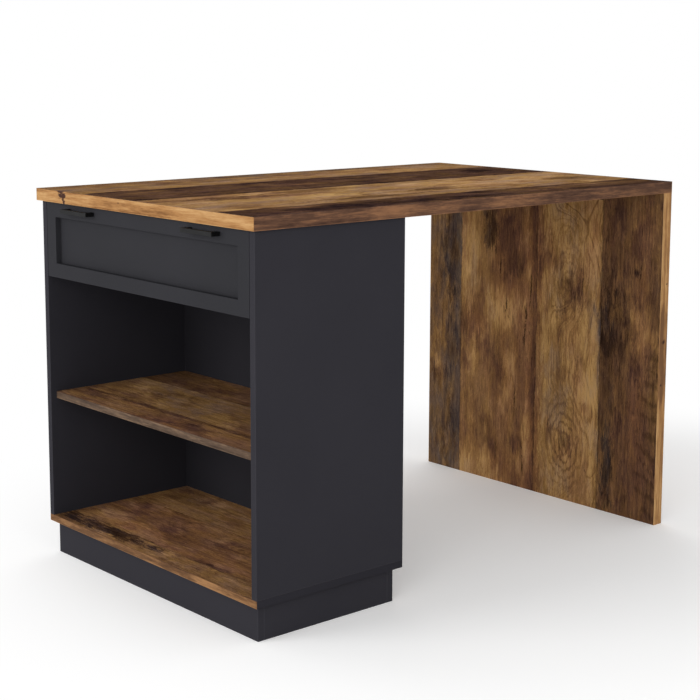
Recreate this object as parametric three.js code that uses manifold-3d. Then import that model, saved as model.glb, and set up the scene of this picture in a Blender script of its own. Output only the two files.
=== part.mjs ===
// Kitchen island unit. A cabinet with one inset drawer over an open compartment carries the front end of
// a long worktop. The worktop runs on past the cabinet and lies on a full-width leg panel, which leaves a
// knee space for stools between the two.
//
// Millimetres, +Z up. The drawer opens towards -Y, the worktop runs along Y, and X goes across it.
// The origin is on the floor, under the middle of the whole unit with its handles.

import * as THREE from 'three';
import { mergeVertices } from 'three/addons/utils/BufferGeometryUtils.js';
import Module from 'manifold-3d';

const wasm = await Module();
wasm.setup();

// ---------------------------------------------------------------- driving dimensions

// Whole unit
const unitHeight = 870;
const worktopLength = 1300;
const worktopWidth = 820;
const worktopThickness = 28;
const legThickness = 30;
const frontOverhang = 10; // the worktop past the drawer front
const bandThickness = 1; // glued edge bands
const bandArris = 0.5; // rounding of a band's outer edges

// Cabinet
const cabinetWidth = 800;
const cabinetDepth = 400;
const boardThickness = 16;
const plinthHeight = 77;
const plinthInset = 15;
const plinthThickness = 16;
const stretcherWidth = 80; // the flat boards under the worktop that tie the side panels together

// Shelf
const shelfUnderside = 375;
const shelfSetback = 15;
const shelfPlay = 0.5; // at each end and at the back
const pinRadius = 2.5;
const pinDepth = 8; // in the side panel
const pinTabLength = 10; // under the shelf
const pinTabWidth = 12;
const pinTabHeight = 9;
const pinTabThickness = 1.5;
const pinFromEdge = 50; // from the shelf's front and back edges

// Drawer front: a frame with a thin panel let into its back
const drawerFrontHeight = 173;
const drawerFrontThickness = 16;
const drawerFrontTopGap = 2;
const drawerFrontSideGap = 2;
const stileWidth = 37;
const frontRailWidth = 33;
const frontArris = 0.75;
const hardboardThickness = 3;
const rebateWidth = 6;

// Drawer box
const boxBoardThickness = 12;
const boxRise = 16; // from the drawer front's lower edge to the box
const boxTopGap = 23; // from the box up to the stretchers
const grooveRise = 10; // from the box's lower edge to the groove for the bottom
const grooveDepth = 6;
const groovePlay = 0.5;

// Telescopic ball-bearing runners
const runnerSpace = 12.75; // between the side panel and the drawer box
const runnerHeight = 45;
const runnerRise = 22.5; // from the box's lower edge to the runner's lower edge
const runnerSheet = 1;
const runnerBend = 1;
const runnerFrontGap = 2; // behind the drawer front
const runnerLengthStep = 50; // runners come in these steps
const runnerRearGap = 2; // least room behind a runner
const runnerOverlap = 10; // of the runner's length, never pulled out
const runnerHoleRadius = 2.2; // for the fixing screws
const accessHoleRadius = 5; // in the middle member, to reach those screws
const runnerHoleStart = 35; // from the runner's front end to its first hole
const runnerHolePitch = 128; // four of the 32 mm steps that cabinets are drilled in
const middleWeb = 3; // from the side panel to the middle member's sheet
const innerRowFromBox = 3.2; // from the drawer box to the middle of the inner ball rows
const middleLipEnd = 35; // degrees, where the middle member's lip ends round the inner balls
const drawerCupEnd = 225; // degrees, where the drawer member's cup ends under the inner balls
const ballRadius = 1.6;
const ballPlay = 0.15;
const ballPitch = 22;
const cageSheet = 0.5;
const cageEnd = 8; // past the last ball
const cageStopGap = 15; // from a cage to the ends of its tracks, with the drawer shut or fully open
const innerCageGap = 0.75; // from the middle member to the inner cage's sheet
const outerCageShare = 0.25; // of the drawer's travel; balls roll half as far as what they carry

// Handles: square-cornered bows
const handleHoleSpacing = 96;
const handleFootWidth = 12;
const handleHeight = 9;
const handleProjection = 22;
const handleGripThickness = 9;
const handleInnerRadius = 2;
const handleArris = 0.6;
const handleFromEdge = 148; // from the drawer front's side edge to the middle of each handle
const handleDrop = 14; // from the drawer front's top edge to the middle of the handles
const handleScrewRoom = 10; // for a driver behind the handle screws

// Fasteners
const holePlay = 0.5; // round a shank, on the radius
const holeSpare = 1; // past a shank's tip
const headDome = 0.75; // of a head's height
const tipRadius = 0.35; // of the shank's radius
const tipLength = 1.5; // in shank radii
const handleScrew = { shankRadius: 2, length: 22, headRadius: 4, headHeight: 2.5 };
const worktopScrew = { shankRadius: 2.2, length: 35, headRadius: 4.5, headHeight: 2.5 };
const bracketScrew = { shankRadius: 2, length: 18, headRadius: 4, headHeight: 2.25 };
const worktopScrewFromSide = 134; // from the side panel's inner face
const bracketFlange = 30;
const bracketWidth = 40;
const bracketSheet = 2;
const bracketBend = 2;
const bracketOffset = 200; // from the middle of the leg panel
const bracketHoleFromCorner = 18;

const gridSteps = 64; // faces that meet lie on a grid of 1/64 mm, which 32-bit numbers hold exactly
const gap = 0.3; // round a piece that is let into another
const roundSides = 12;
const arcSteps = 3;
const domeSteps = 2;
const ballSides = 8;
const ballRings = 6;
const mergeDistance = 1e-4;

// ---------------------------------------------------------------- derived planes

const onGrid = (value) => Math.round(value * gridSteps) / gridSteps;
const lowHigh = (low, high) => [onGrid(low), onGrid(high)];
const across = (halfWidth) => lowHigh(-halfWidth, halfWidth);

const handleReach = Math.max(0, handleProjection - frontOverhang); // the handles past the worktop
const worktopFront = onGrid((handleReach - worktopLength) / 2);
const worktopRear = onGrid(worktopFront + worktopLength);
const worktopUnderside = unitHeight - worktopThickness;
const legInner = worktopRear - legThickness;

const cabinetFront = worktopFront + frontOverhang;
const cabinetRear = cabinetFront + cabinetDepth;
const innerHalf = onGrid(cabinetWidth / 2 - boardThickness);
const bottomTop = plinthHeight + boardThickness;
const backPanelFront = cabinetRear - boardThickness;
const stretcherUnderside = worktopUnderside - boardThickness;
const worktopScrewOffset = innerHalf - worktopScrewFromSide;

const drawerFrontTop = worktopUnderside - drawerFrontTopGap;
const drawerFrontBottom = drawerFrontTop - drawerFrontHeight;
const drawerFrontHalf = innerHalf - drawerFrontSideGap;
const drawerFrontBack = cabinetFront + drawerFrontThickness;
const boxFace = onGrid(runnerSpace); // from the side panel's inner face to the box
const boxHalf = innerHalf - boxFace;
const boxInnerHalf = boxHalf - boxBoardThickness;
const boxBottom = drawerFrontBottom + boxRise;
const boxTop = stretcherUnderside - boxTopGap;

const runnerFront = drawerFrontBack + runnerFrontGap;
const runnerRoom = backPanelFront - runnerRearGap - runnerFront;
const runnerLength = Math.floor(runnerRoom / runnerLengthStep) * runnerLengthStep;
const runnerCentre = boxBottom + runnerRise + runnerHeight / 2;
const drawerTravel = runnerLength - runnerOverlap;
const cageRoom = runnerLength - drawerTravel / 2 - 2 * cageStopGap;
const ballsInRow = Math.floor((cageRoom - 2 * cageEnd) / ballPitch) + 1;
const boxRear = runnerFront + runnerLength;

const handleCentre = drawerFrontTop - handleDrop;
const handleOffset = drawerFrontHalf - handleFromEdge;
const stretcherFront = drawerFrontBack + handleScrew.headHeight + handleScrewRoom;

// ---------------------------------------------------------------- materials

function finish(color, roughness, metalness = 0) {
  return new THREE.MeshStandardMaterial({ color, roughness, metalness });
}

const materials = {
  plankDecor: finish(0x7a5233, 0.55),
  lightBand: finish(0xc4935a, 0.5),
  brownBand: finish(0x6b4a34, 0.5),
  anthracite: finish(0x36363a, 0.6),
  boxBoard: finish(0x3a3a3e, 0.65),
  hardboard: finish(0x3d3a38, 0.75),
  blackMetal: finish(0x101012, 0.4, 0.6),
  zincSteel: finish(0x9a9da0, 0.35, 0.9),
};

// ---------------------------------------------------------------- solids and cuts

const rightward = new THREE.Vector3(1, 0, 0);
const rearward = new THREE.Vector3(0, 1, 0);
const forward = new THREE.Vector3(0, -1, 0);
const up = new THREE.Vector3(0, 0, 1);
const sides = [
  ['left', -1],
  ['right', 1],
];

function solidOf(geometry) {
  const bare = geometry.index ? geometry.toNonIndexed() : geometry.clone();
  bare.deleteAttribute('normal');
  bare.deleteAttribute('uv');
  const merged = mergeVertices(bare, mergeDistance);
  return new wasm.Manifold(
    new wasm.Mesh({
      numProp: 3,
      vertProperties: merged.attributes.position.array,
      triVerts: new Uint32Array(merged.index.array),
    }),
  );
}

function geometryOf(solid) {
  const mesh = solid.getMesh();
  const geometry = new THREE.BufferGeometry();
  geometry.setAttribute('position', new THREE.BufferAttribute(mesh.vertProperties, 3));
  geometry.setIndex(new THREE.BufferAttribute(mesh.triVerts, 1));
  geometry.computeVertexNormals();
  return geometry;
}

function cut(geometry, tools) {
  let solid = solidOf(geometry);
  for (const tool of tools) {
    solid = solid.subtract(solidOf(tool));
  }
  return geometryOf(solid);
}

function join(geometries) {
  let solid = solidOf(geometries[0]);
  for (const geometry of geometries.slice(1)) {
    solid = solid.add(solidOf(geometry));
  }
  return geometryOf(solid);
}

// A box between low and high planes on each axis.
function block([x0, x1], [y0, y1], [z0, z1]) {
  const box = new THREE.BoxGeometry(x1 - x0, y1 - y0, z1 - z0);
  return box.translate((x0 + x1) / 2, (y0 + y1) / 2, (z0 + z1) / 2);
}

// A cylinder from one point to another.
function rod(from, to, radius) {
  const axis = new THREE.Vector3().subVectors(to, from);
  const turn = new THREE.Quaternion().setFromUnitVectors(
    new THREE.Vector3(0, 1, 0),
    axis.clone().normalize(),
  );
  const middle = new THREE.Vector3().addVectors(from, to).multiplyScalar(0.5);
  return new THREE.CylinderGeometry(radius, radius, axis.length(), roundSides)
    .applyQuaternion(turn)
    .translate(middle.x, middle.y, middle.z);
}

// A hole for a shank, from its mouth at the head to past its tip.
function shankHole(mouth, direction, screw, reach = screw.length) {
  const start = mouth.clone().addScaledVector(direction, -holeSpare);
  const end = mouth.clone().addScaledVector(direction, reach + holeSpare);
  return rod(start, end, screw.shankRadius + holePlay);
}

// A mesh whose own origin is in the middle of its geometry's box.
function addPiece(parent, name, material, geometry) {
  geometry.computeBoundingBox();
  const middle = geometry.boundingBox.getCenter(new THREE.Vector3());
  for (const axis of ['x', 'y', 'z']) {
    middle[axis] = onGrid(middle[axis]);
  }
  const mesh = new THREE.Mesh(geometry.translate(-middle.x, -middle.y, -middle.z), material.clone());
  mesh.position.copy(middle);
  mesh.name = name;
  parent.add(mesh);
  return mesh;
}

function addBoard(parent, name, material, spanX, spanY, spanZ, cuts = []) {
  const board = block(spanX, spanY, spanZ);
  return addPiece(parent, name, material, cuts.length ? cut(board, cuts) : board);
}

// An edge band: a strip as thick as a band, with its two outer long edges rounded.
// It lies against the plane at `face` of the axis `outAxis` and grows by `sign` along it.
function bandGeometry(outAxis, sign, face, runAxis, run, widthAxis, width) {
  const outline = new THREE.Shape();
  outline.moveTo(width[0], 0);
  outline.lineTo(width[1], 0);
  outline.lineTo(width[1], bandThickness - bandArris);
  outline.absarc(width[1] - bandArris, bandThickness - bandArris, bandArris, 0, Math.PI / 2, false);
  outline.lineTo(width[0] + bandArris, bandThickness);
  outline.absarc(width[0] + bandArris, bandThickness - bandArris, bandArris, Math.PI / 2, Math.PI, false);
  const strip = new THREE.ExtrudeGeometry(outline, {
    depth: run[1] - run[0],
    bevelEnabled: false,
    curveSegments: arcSteps,
  });
  const unit = { x: rightward, y: rearward, z: up };
  const out = unit[outAxis].clone().multiplyScalar(sign);
  const along = new THREE.Vector3().crossVectors(unit[widthAxis], out);
  const start = along.dot(unit[runAxis]) > 0 ? run[0] : run[1];
  const frame = new THREE.Matrix4().makeBasis(unit[widthAxis], out, along);
  frame.setPosition(unit[outAxis].clone().multiplyScalar(face).addScaledVector(unit[runAxis], start));
  return strip.applyMatrix4(frame);
}

// A screw on its own Y axis: the head above 0, its underside at 0, and the shank below.
function screwGeometry({ shankRadius, length, headRadius, headHeight }) {
  const rim = headHeight * (1 - headDome);
  const outline = [
    [0, -length],
    [shankRadius * tipRadius, -length],
    [shankRadius, shankRadius * tipLength - length],
    [shankRadius, 0],
    [headRadius, 0],
    [headRadius, rim],
  ];
  for (let i = 1; i < domeSteps; i += 1) {
    const turn = ((i / domeSteps) * Math.PI) / 2;
    outline.push([headRadius * Math.cos(turn), rim + (headHeight - rim) * Math.sin(turn)]);
  }
  outline.push([0, headHeight]);
  return new THREE.LatheGeometry(
    outline.map(([r, y]) => new THREE.Vector2(r, y)),
    roundSides,
  );
}

// `pointing` is the way the shank goes: 'front' is -Y, 'rear' is +Y, 'up' is +Z.
function addScrew(parent, name, size, head, pointing) {
  const turns = { front: 0, rear: Math.PI, up: -Math.PI / 2 };
  const mesh = new THREE.Mesh(screwGeometry(size), materials.zincSteel.clone());
  mesh.position.set(onGrid(head.x), onGrid(head.y), onGrid(head.z));
  mesh.rotation.x = turns[pointing];
  mesh.name = name;
  parent.add(mesh);
  return mesh;
}

// A span that starts at an inner plane and ends at an outer one, on either side of the middle.
const onSide = (sign, inner, outer) => (sign > 0 ? lowHigh(inner, outer) : lowHigh(-outer, -inner));

const island = new THREE.Group();
island.name = 'kitchen_island';

// ---------------------------------------------------------------- worktop and leg panel

const stretcherSpans = {
  front: lowHigh(stretcherFront, stretcherFront + stretcherWidth),
  rear: lowHigh(backPanelFront - stretcherWidth, backPanelFront),
};

function worktopScrewHeads() {
  const heads = [];
  for (const [end, span] of Object.entries(stretcherSpans)) {
    for (const [side, sign] of sides) {
      const middle = (span[0] + span[1]) / 2;
      const head = new THREE.Vector3(sign * worktopScrewOffset, middle, stretcherUnderside);
      heads.push([`worktop_screw_${end}_${side}`, head, end]);
    }
  }
  return heads;
}

// The undersides of the two screw heads in a leg bracket's flanges.
function bracketScrewHeads(sign) {
  const x = sign * bracketOffset;
  return {
    underWorktop: new THREE.Vector3(x, legInner - bracketHoleFromCorner, worktopUnderside - bracketSheet),
    onLeg: new THREE.Vector3(x, legInner - bracketSheet, worktopUnderside - bracketHoleFromCorner),
  };
}

function addWorktop() {
  const coreFront = worktopFront + bandThickness;
  const coreRear = worktopRear - bandThickness;
  const half = worktopWidth / 2;
  const thickness = lowHigh(worktopUnderside, unitHeight);
  const cuts = worktopScrewHeads().map(([, head]) => shankHole(head, up, worktopScrew));
  for (const [, sign] of sides) {
    cuts.push(shankHole(bracketScrewHeads(sign).underWorktop, up, bracketScrew));
  }
  const length = lowHigh(coreFront, coreRear);
  addBoard(island, 'worktop', materials.plankDecor, across(half - bandThickness), length, thickness, cuts);
  for (const [side, sign] of sides) {
    addPiece(
      island,
      `worktop_band_${side}`,
      materials.brownBand,
      bandGeometry('x', sign, onGrid(sign * (half - bandThickness)), 'y', length, 'z', thickness),
    );
  }
  for (const [end, sign, face] of [
    ['front', -1, coreFront],
    ['rear', 1, coreRear],
  ]) {
    addPiece(
      island,
      `worktop_band_${end}`,
      materials.lightBand,
      bandGeometry('y', sign, onGrid(face), 'x', across(half), 'z', thickness),
    );
  }
}

function addLegPanel() {
  const half = worktopWidth / 2;
  const spanY = lowHigh(legInner, worktopRear);
  const spanZ = lowHigh(0, worktopUnderside);
  const cuts = sides.map(([, sign]) => shankHole(bracketScrewHeads(sign).onLeg, rearward, bracketScrew));
  addBoard(island, 'leg_panel', materials.plankDecor, across(half - bandThickness), spanY, spanZ, cuts);
  for (const [side, sign] of sides) {
    addPiece(
      island,
      `leg_band_${side}`,
      materials.lightBand,
      bandGeometry('x', sign, onGrid(sign * (half - bandThickness)), 'z', spanZ, 'y', spanY),
    );
  }
}

// A steel angle in the corner under the worktop, with a rounded bend and one hole in each flange.
function addLegBracket(side, sign) {
  const outline = new THREE.Shape();
  const bendCentre = -bracketBend - bracketSheet;
  outline.moveTo(0, bendCentre);
  outline.absarc(bendCentre, bendCentre, bracketBend + bracketSheet, 0, Math.PI / 2, false);
  outline.lineTo(-bracketFlange, 0);
  outline.lineTo(-bracketFlange, -bracketSheet);
  outline.lineTo(bendCentre, -bracketSheet);
  outline.absarc(bendCentre, bendCentre, bracketBend, Math.PI / 2, 0, true);
  outline.lineTo(-bracketSheet, -bracketFlange);
  outline.lineTo(0, -bracketFlange);
  const angle = new THREE.ExtrudeGeometry(outline, {
    depth: bracketWidth,
    bevelEnabled: false,
    curveSegments: arcSteps,
  });
  const start = onGrid(sign * bracketOffset - bracketWidth / 2);
  const frame = new THREE.Matrix4().makeBasis(rearward, up, rightward);
  frame.setPosition(start, onGrid(legInner), onGrid(worktopUnderside));
  angle.applyMatrix4(frame);

  const { underWorktop, onLeg } = bracketScrewHeads(sign);
  const holes = [shankHole(underWorktop, up, bracketScrew), shankHole(onLeg, rearward, bracketScrew)];
  addPiece(island, `leg_bracket_${side}`, materials.zincSteel, cut(angle, holes));
  addScrew(island, `bracket_screw_worktop_${side}`, bracketScrew, underWorktop, 'up');
  addScrew(island, `bracket_screw_leg_${side}`, bracketScrew, onLeg, 'rear');
}

// ---------------------------------------------------------------- cabinet

const pinHeight = shelfUnderside - pinTabHeight / 2;
const shelfSpanY = lowHigh(cabinetFront + shelfSetback, backPanelFront - shelfPlay);
const pinPlaces = [
  ['front', shelfSpanY[0] + pinFromEdge],
  ['rear', shelfSpanY[1] - pinFromEdge],
];

function addSidePanel(side, sign) {
  const holes = pinPlaces.map(([, y]) =>
    rod(
      new THREE.Vector3(sign * (innerHalf - holeSpare), y, pinHeight),
      new THREE.Vector3(sign * (innerHalf + pinDepth + holeSpare), y, pinHeight),
      pinRadius + holePlay,
    ),
  );
  addBoard(
    island,
    `side_panel_${side}`,
    materials.anthracite,
    onSide(sign, innerHalf, cabinetWidth / 2),
    lowHigh(cabinetFront, cabinetRear),
    lowHigh(bottomTop, worktopUnderside),
    holes,
  );
}

// A metal shelf support: a peg in the side panel, a plate against it and a tab under the shelf.
function addShelfPin(side, sign, end, y) {
  const spanY = lowHigh(y - pinTabWidth / 2, y + pinTabWidth / 2);
  const below = (drop) => lowHigh(shelfUnderside - drop, shelfUnderside);
  const pieces = [
    block(onSide(sign, innerHalf - pinTabThickness, innerHalf), spanY, below(pinTabHeight)),
    block(onSide(sign, innerHalf - pinTabLength, innerHalf), spanY, below(pinTabThickness)),
    rod(
      new THREE.Vector3(sign * (innerHalf - pinTabThickness / 2), y, pinHeight),
      new THREE.Vector3(sign * (innerHalf + pinDepth), y, pinHeight),
      pinRadius,
    ),
  ];
  addPiece(island, `shelf_pin_${end}_${side}`, materials.zincSteel, join(pieces));
}

function addStretchers() {
  for (const [end, span] of Object.entries(stretcherSpans)) {
    const holes = worktopScrewHeads()
      .filter(([, , at]) => at === end)
      .map(([, head]) => shankHole(head, up, worktopScrew));
    addBoard(
      island,
      `stretcher_${end}`,
      materials.anthracite,
      across(innerHalf),
      span,
      lowHigh(stretcherUnderside, worktopUnderside),
      holes,
    );
  }
  for (const [name, head] of worktopScrewHeads()) {
    addScrew(island, name, worktopScrew, head, 'up');
  }
}

function addPlinth() {
  const half = cabinetWidth / 2 - plinthInset;
  const front = cabinetFront + plinthInset;
  const rear = cabinetRear - plinthInset;
  const height = lowHigh(0, plinthHeight);
  for (const [name, spanY] of [
    ['plinth_front', lowHigh(front, front + plinthThickness)],
    ['plinth_rear', lowHigh(rear - plinthThickness, rear)],
  ]) {
    addBoard(island, name, materials.anthracite, across(half), spanY, height);
  }
  for (const [side, sign] of sides) {
    addBoard(
      island,
      `plinth_${side}`,
      materials.anthracite,
      onSide(sign, half - plinthThickness, half),
      lowHigh(front + plinthThickness, rear - plinthThickness),
      height,
    );
  }
}

function addCabinet() {
  const bottomSpanZ = lowHigh(plinthHeight, bottomTop);
  const boardFront = onGrid(cabinetFront + bandThickness);
  addBoard(
    island,
    'bottom_board',
    materials.plankDecor,
    across(cabinetWidth / 2),
    lowHigh(boardFront, cabinetRear),
    bottomSpanZ,
  );
  addPiece(
    island,
    'bottom_board_band',
    materials.lightBand,
    bandGeometry('y', -1, boardFront, 'x', across(cabinetWidth / 2), 'z', bottomSpanZ),
  );
  addBoard(
    island,
    'back_panel',
    materials.anthracite,
    across(innerHalf),
    lowHigh(backPanelFront, cabinetRear),
    lowHigh(bottomTop, worktopUnderside),
  );
  addPlinth();
  addStretchers();

  const shelfHalf = innerHalf - shelfPlay;
  const shelfSpanZ = lowHigh(shelfUnderside, shelfUnderside + boardThickness);
  const shelfFront = onGrid(shelfSpanY[0] + bandThickness);
  const shelfDepth = [shelfFront, shelfSpanY[1]];
  addBoard(island, 'shelf', materials.plankDecor, across(shelfHalf), shelfDepth, shelfSpanZ);
  addPiece(
    island,
    'shelf_band',
    materials.lightBand,
    bandGeometry('y', -1, shelfFront, 'x', across(shelfHalf), 'z', shelfSpanZ),
  );
  for (const [side, sign] of sides) {
    addSidePanel(side, sign);
    for (const [end, y] of pinPlaces) {
      addShelfPin(side, sign, end, y);
    }
  }
}

// ---------------------------------------------------------------- drawer

const handleFeet = [-handleHoleSpacing / 2, handleHoleSpacing / 2];
const screwHeadsOfHandle = (sign) =>
  handleFeet.map((foot) => new THREE.Vector3(sign * handleOffset + foot, drawerFrontBack, handleCentre));

function rectangle(path, [x0, x1], [y0, y1]) {
  path.moveTo(x0, y0);
  path.lineTo(x1, y0);
  path.lineTo(x1, y1);
  path.lineTo(x0, y1);
  path.closePath();
  return path;
}

// The frame: eased edges outside and inside, a rebate for the panel at the back, and the screw holes.
function addDrawerFront(parent) {
  const spanX = across(drawerFrontHalf);
  const spanZ = lowHigh(drawerFrontBottom, drawerFrontTop);
  const openX = across(drawerFrontHalf - stileWidth);
  const openZ = lowHigh(spanZ[0] + frontRailWidth, spanZ[1] - frontRailWidth);
  const outline = rectangle(new THREE.Shape(), spanX, spanZ);
  outline.holes.push(rectangle(new THREE.Path(), [openX[1], openX[0]], openZ));
  const frame = new THREE.ExtrudeGeometry(outline, {
    depth: drawerFrontThickness - 2 * frontArris,
    bevelThickness: frontArris,
    bevelSize: frontArris,
    bevelOffset: -frontArris,
    bevelSegments: 2,
  });
  frame.applyMatrix4(
    new THREE.Matrix4()
      .makeBasis(rightward, up, forward)
      .setPosition(0, onGrid(drawerFrontBack - frontArris), 0),
  );
  const rebateFloor = onGrid(drawerFrontBack - hardboardThickness);
  const tools = [
    block(
      lowHigh(openX[0] - rebateWidth, openX[1] + rebateWidth),
      [rebateFloor, drawerFrontBack + holeSpare],
      lowHigh(openZ[0] - rebateWidth, openZ[1] + rebateWidth),
    ),
  ];
  for (const [, sign] of sides) {
    for (const head of screwHeadsOfHandle(sign)) {
      tools.push(shankHole(head, forward, handleScrew));
    }
  }
  addPiece(parent, 'drawer_front_frame', materials.anthracite, cut(frame, tools));

  const grow = rebateWidth - gap;
  addBoard(
    parent,
    'drawer_front_panel',
    materials.anthracite,
    lowHigh(openX[0] - grow, openX[1] + grow),
    [rebateFloor, onGrid(drawerFrontBack)],
    lowHigh(openZ[0] - grow, openZ[1] + grow),
  );
}

// A bow of one thickness: two feet and a grip, cut from above as one outline with rounded inner corners.
function addHandle(parent, side, sign) {
  const half = (handleHoleSpacing + handleFootWidth) / 2;
  const inside = half - handleFootWidth;
  const gapDepth = handleProjection - handleGripThickness;
  const cornerX = inside - handleInnerRadius;
  const cornerY = handleInnerRadius - gapDepth;
  const bow = new THREE.Shape();
  bow.moveTo(-half, 0);
  bow.lineTo(-inside, 0);
  bow.lineTo(-inside, cornerY);
  bow.absarc(-cornerX, cornerY, handleInnerRadius, Math.PI, Math.PI * 1.5, false);
  bow.lineTo(cornerX, -gapDepth);
  bow.absarc(cornerX, cornerY, handleInnerRadius, -Math.PI / 2, 0, false);
  bow.lineTo(inside, 0);
  bow.lineTo(half, 0);
  bow.lineTo(half, -handleProjection + handleArris);
  bow.lineTo(half - handleArris, -handleProjection);
  bow.lineTo(-half + handleArris, -handleProjection);
  bow.lineTo(-half, -handleProjection + handleArris);
  bow.closePath();
  const solid = new THREE.ExtrudeGeometry(bow, {
    depth: handleHeight,
    bevelEnabled: false,
    curveSegments: arcSteps,
  });
  const middle = sign * handleOffset;
  solid.translate(onGrid(middle), onGrid(cabinetFront), onGrid(handleCentre - handleHeight / 2));
  const holes = screwHeadsOfHandle(sign).map((head) => shankHole(head, forward, handleScrew));
  addPiece(parent, `handle_${side}`, materials.blackMetal, cut(solid, holes));
  screwHeadsOfHandle(sign).forEach((head, index) => {
    const place = sign * handleFeet[index] > 0 ? 'outer' : 'inner';
    addScrew(parent, `handle_screw_${side}_${place}`, handleScrew, head, 'front');
  });
}

function addDrawerBox(parent) {
  const height = lowHigh(boxBottom, boxTop);
  const spanY = lowHigh(drawerFrontBack, boxRear);
  const grooveZ = lowHigh(boxBottom + grooveRise, boxBottom + grooveRise + hardboardThickness + groovePlay);
  const bottomTopPlane = onGrid(grooveZ[0] + hardboardThickness);
  const frontBoardBack = spanY[0] + boxBoardThickness;
  for (const [side, sign] of sides) {
    const groove = block(
      onSide(sign, boxInnerHalf - holeSpare, boxInnerHalf + grooveDepth),
      [spanY[0] - holeSpare, spanY[1] + holeSpare],
      grooveZ,
    );
    const spanX = onSide(sign, boxInnerHalf, boxHalf);
    addBoard(parent, `drawer_side_${side}`, materials.boxBoard, spanX, spanY, height, [groove]);
  }
  const frontGroove = block(
    across(boxInnerHalf + holeSpare),
    lowHigh(frontBoardBack - grooveDepth, frontBoardBack + holeSpare),
    grooveZ,
  );
  addBoard(
    parent,
    'drawer_box_front',
    materials.boxBoard,
    across(boxInnerHalf),
    lowHigh(spanY[0], frontBoardBack),
    height,
    [frontGroove],
  );
  addBoard(
    parent,
    'drawer_box_back',
    materials.boxBoard,
    across(boxInnerHalf),
    lowHigh(spanY[1] - boxBoardThickness, spanY[1]),
    [bottomTopPlane, height[1]],
  );
  addBoard(
    parent,
    'drawer_bottom',
    materials.hardboard,
    across(boxInnerHalf + grooveDepth - groovePlay),
    lowHigh(frontBoardBack - grooveDepth + groovePlay, spanY[1]),
    [grooveZ[0], bottomTopPlane],
  );
}

// ---------------------------------------------------------------- runners

// Each runner is drawn in section, with u from the side panel towards the drawer and v up from the
// runner's middle line. Three folded members nest round two pairs of ball rows.
const halfSheet = runnerSheet / 2;
const trackRadius = ballRadius + ballPlay + halfSheet;
const cabinetWeb = halfSheet;
const drawerWeb = boxFace - halfSheet;
const outerFlange = runnerHeight / 2 - halfSheet;
const rowSlope = -Math.PI / 4; // the way from an outer ball row to its inner one
const rowDistance = 2 * trackRadius; // the middle member's two tracks touch back to back
const innerRow = {
  u: boxFace - innerRowFromBox,
  v: outerFlange - trackRadius + rowDistance * Math.sin(rowSlope),
};
const outerRow = { u: innerRow.u - rowDistance * Math.cos(rowSlope), v: outerFlange - trackRadius };
const outerCageWeb = (runnerSheet + middleWeb - halfSheet) / 2;
const innerCageWeb = middleWeb + halfSheet + innerCageGap;

// Adds the mirror image below the middle line to a path drawn above it from the middle outwards.
function mirrored(points) {
  const below = points.map((p) => new THREE.Vector2(p.x, -p.y)).reverse();
  return [...below.filter((p) => p.y < 0), ...points];
}

// The outline of a sheet of one thickness that follows a line of points.
function sheetShape(points, thickness) {
  const left = [];
  const right = [];
  points.forEach((point, i) => {
    const before = points[Math.max(i - 1, 0)];
    const after = points[Math.min(i + 1, points.length - 1)];
    const incoming = new THREE.Vector2().subVectors(point, before).normalize();
    const outgoing = new THREE.Vector2().subVectors(after, point).normalize();
    const way = incoming.clone().add(outgoing).normalize();
    const normal = new THREE.Vector2(-way.y, way.x);
    const straight = i === 0 ? outgoing : incoming;
    const spread = thickness / 2 / Math.abs(straight.x * way.x + straight.y * way.y);
    left.push(point.clone().addScaledVector(normal, spread));
    right.push(point.clone().addScaledVector(normal, -spread));
  });
  return new THREE.Shape([...right, ...left.reverse()]);
}

const degrees = THREE.MathUtils.degToRad;
const pathPoints = (path) => {
  const points = path.getPoints(arcSteps);
  return points.filter((p, i) => i === 0 || p.distanceTo(points[i - 1]) > mergeDistance);
};

// Screwed to the side panel: a flat web, and a flange that arches over the outer balls to a lip.
function cabinetMemberPath() {
  const path = new THREE.Path();
  path.moveTo(cabinetWeb, 0);
  path.lineTo(cabinetWeb, outerFlange - runnerBend);
  path.absarc(cabinetWeb + runnerBend, outerFlange - runnerBend, runnerBend, Math.PI, Math.PI / 2, true);
  path.lineTo(outerRow.u, outerFlange);
  path.absarc(outerRow.u, outerRow.v, trackRadius, Math.PI / 2, 0, true);
  return path;
}

// Between the rows: its flange cups the outer balls from below and arches over the inner ones.
function middleMemberPath() {
  const flange = outerRow.v - trackRadius;
  const path = new THREE.Path();
  path.moveTo(middleWeb, 0);
  path.lineTo(middleWeb, flange - runnerBend);
  path.absarc(middleWeb + runnerBend, flange - runnerBend, runnerBend, Math.PI, Math.PI / 2, true);
  path.lineTo(outerRow.u, flange);
  path.absarc(outerRow.u, outerRow.v, trackRadius, -Math.PI / 2, rowSlope, false);
  path.absarc(innerRow.u, innerRow.v, trackRadius, rowSlope + Math.PI, degrees(middleLipEnd), true);
  return path;
}

// Screwed to the drawer: a web against the box, and a flange that cups the inner balls from below.
function drawerMemberPath() {
  const flange = innerRow.v - trackRadius;
  const path = new THREE.Path();
  path.moveTo(drawerWeb, 0);
  path.lineTo(drawerWeb, flange - runnerBend);
  path.absarc(drawerWeb - runnerBend, flange - runnerBend, runnerBend, 0, Math.PI / 2, false);
  path.lineTo(innerRow.u, flange);
  path.absarc(innerRow.u, innerRow.v, trackRadius, Math.PI * 1.5, degrees(drawerCupEnd), true);
  return path;
}

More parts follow.
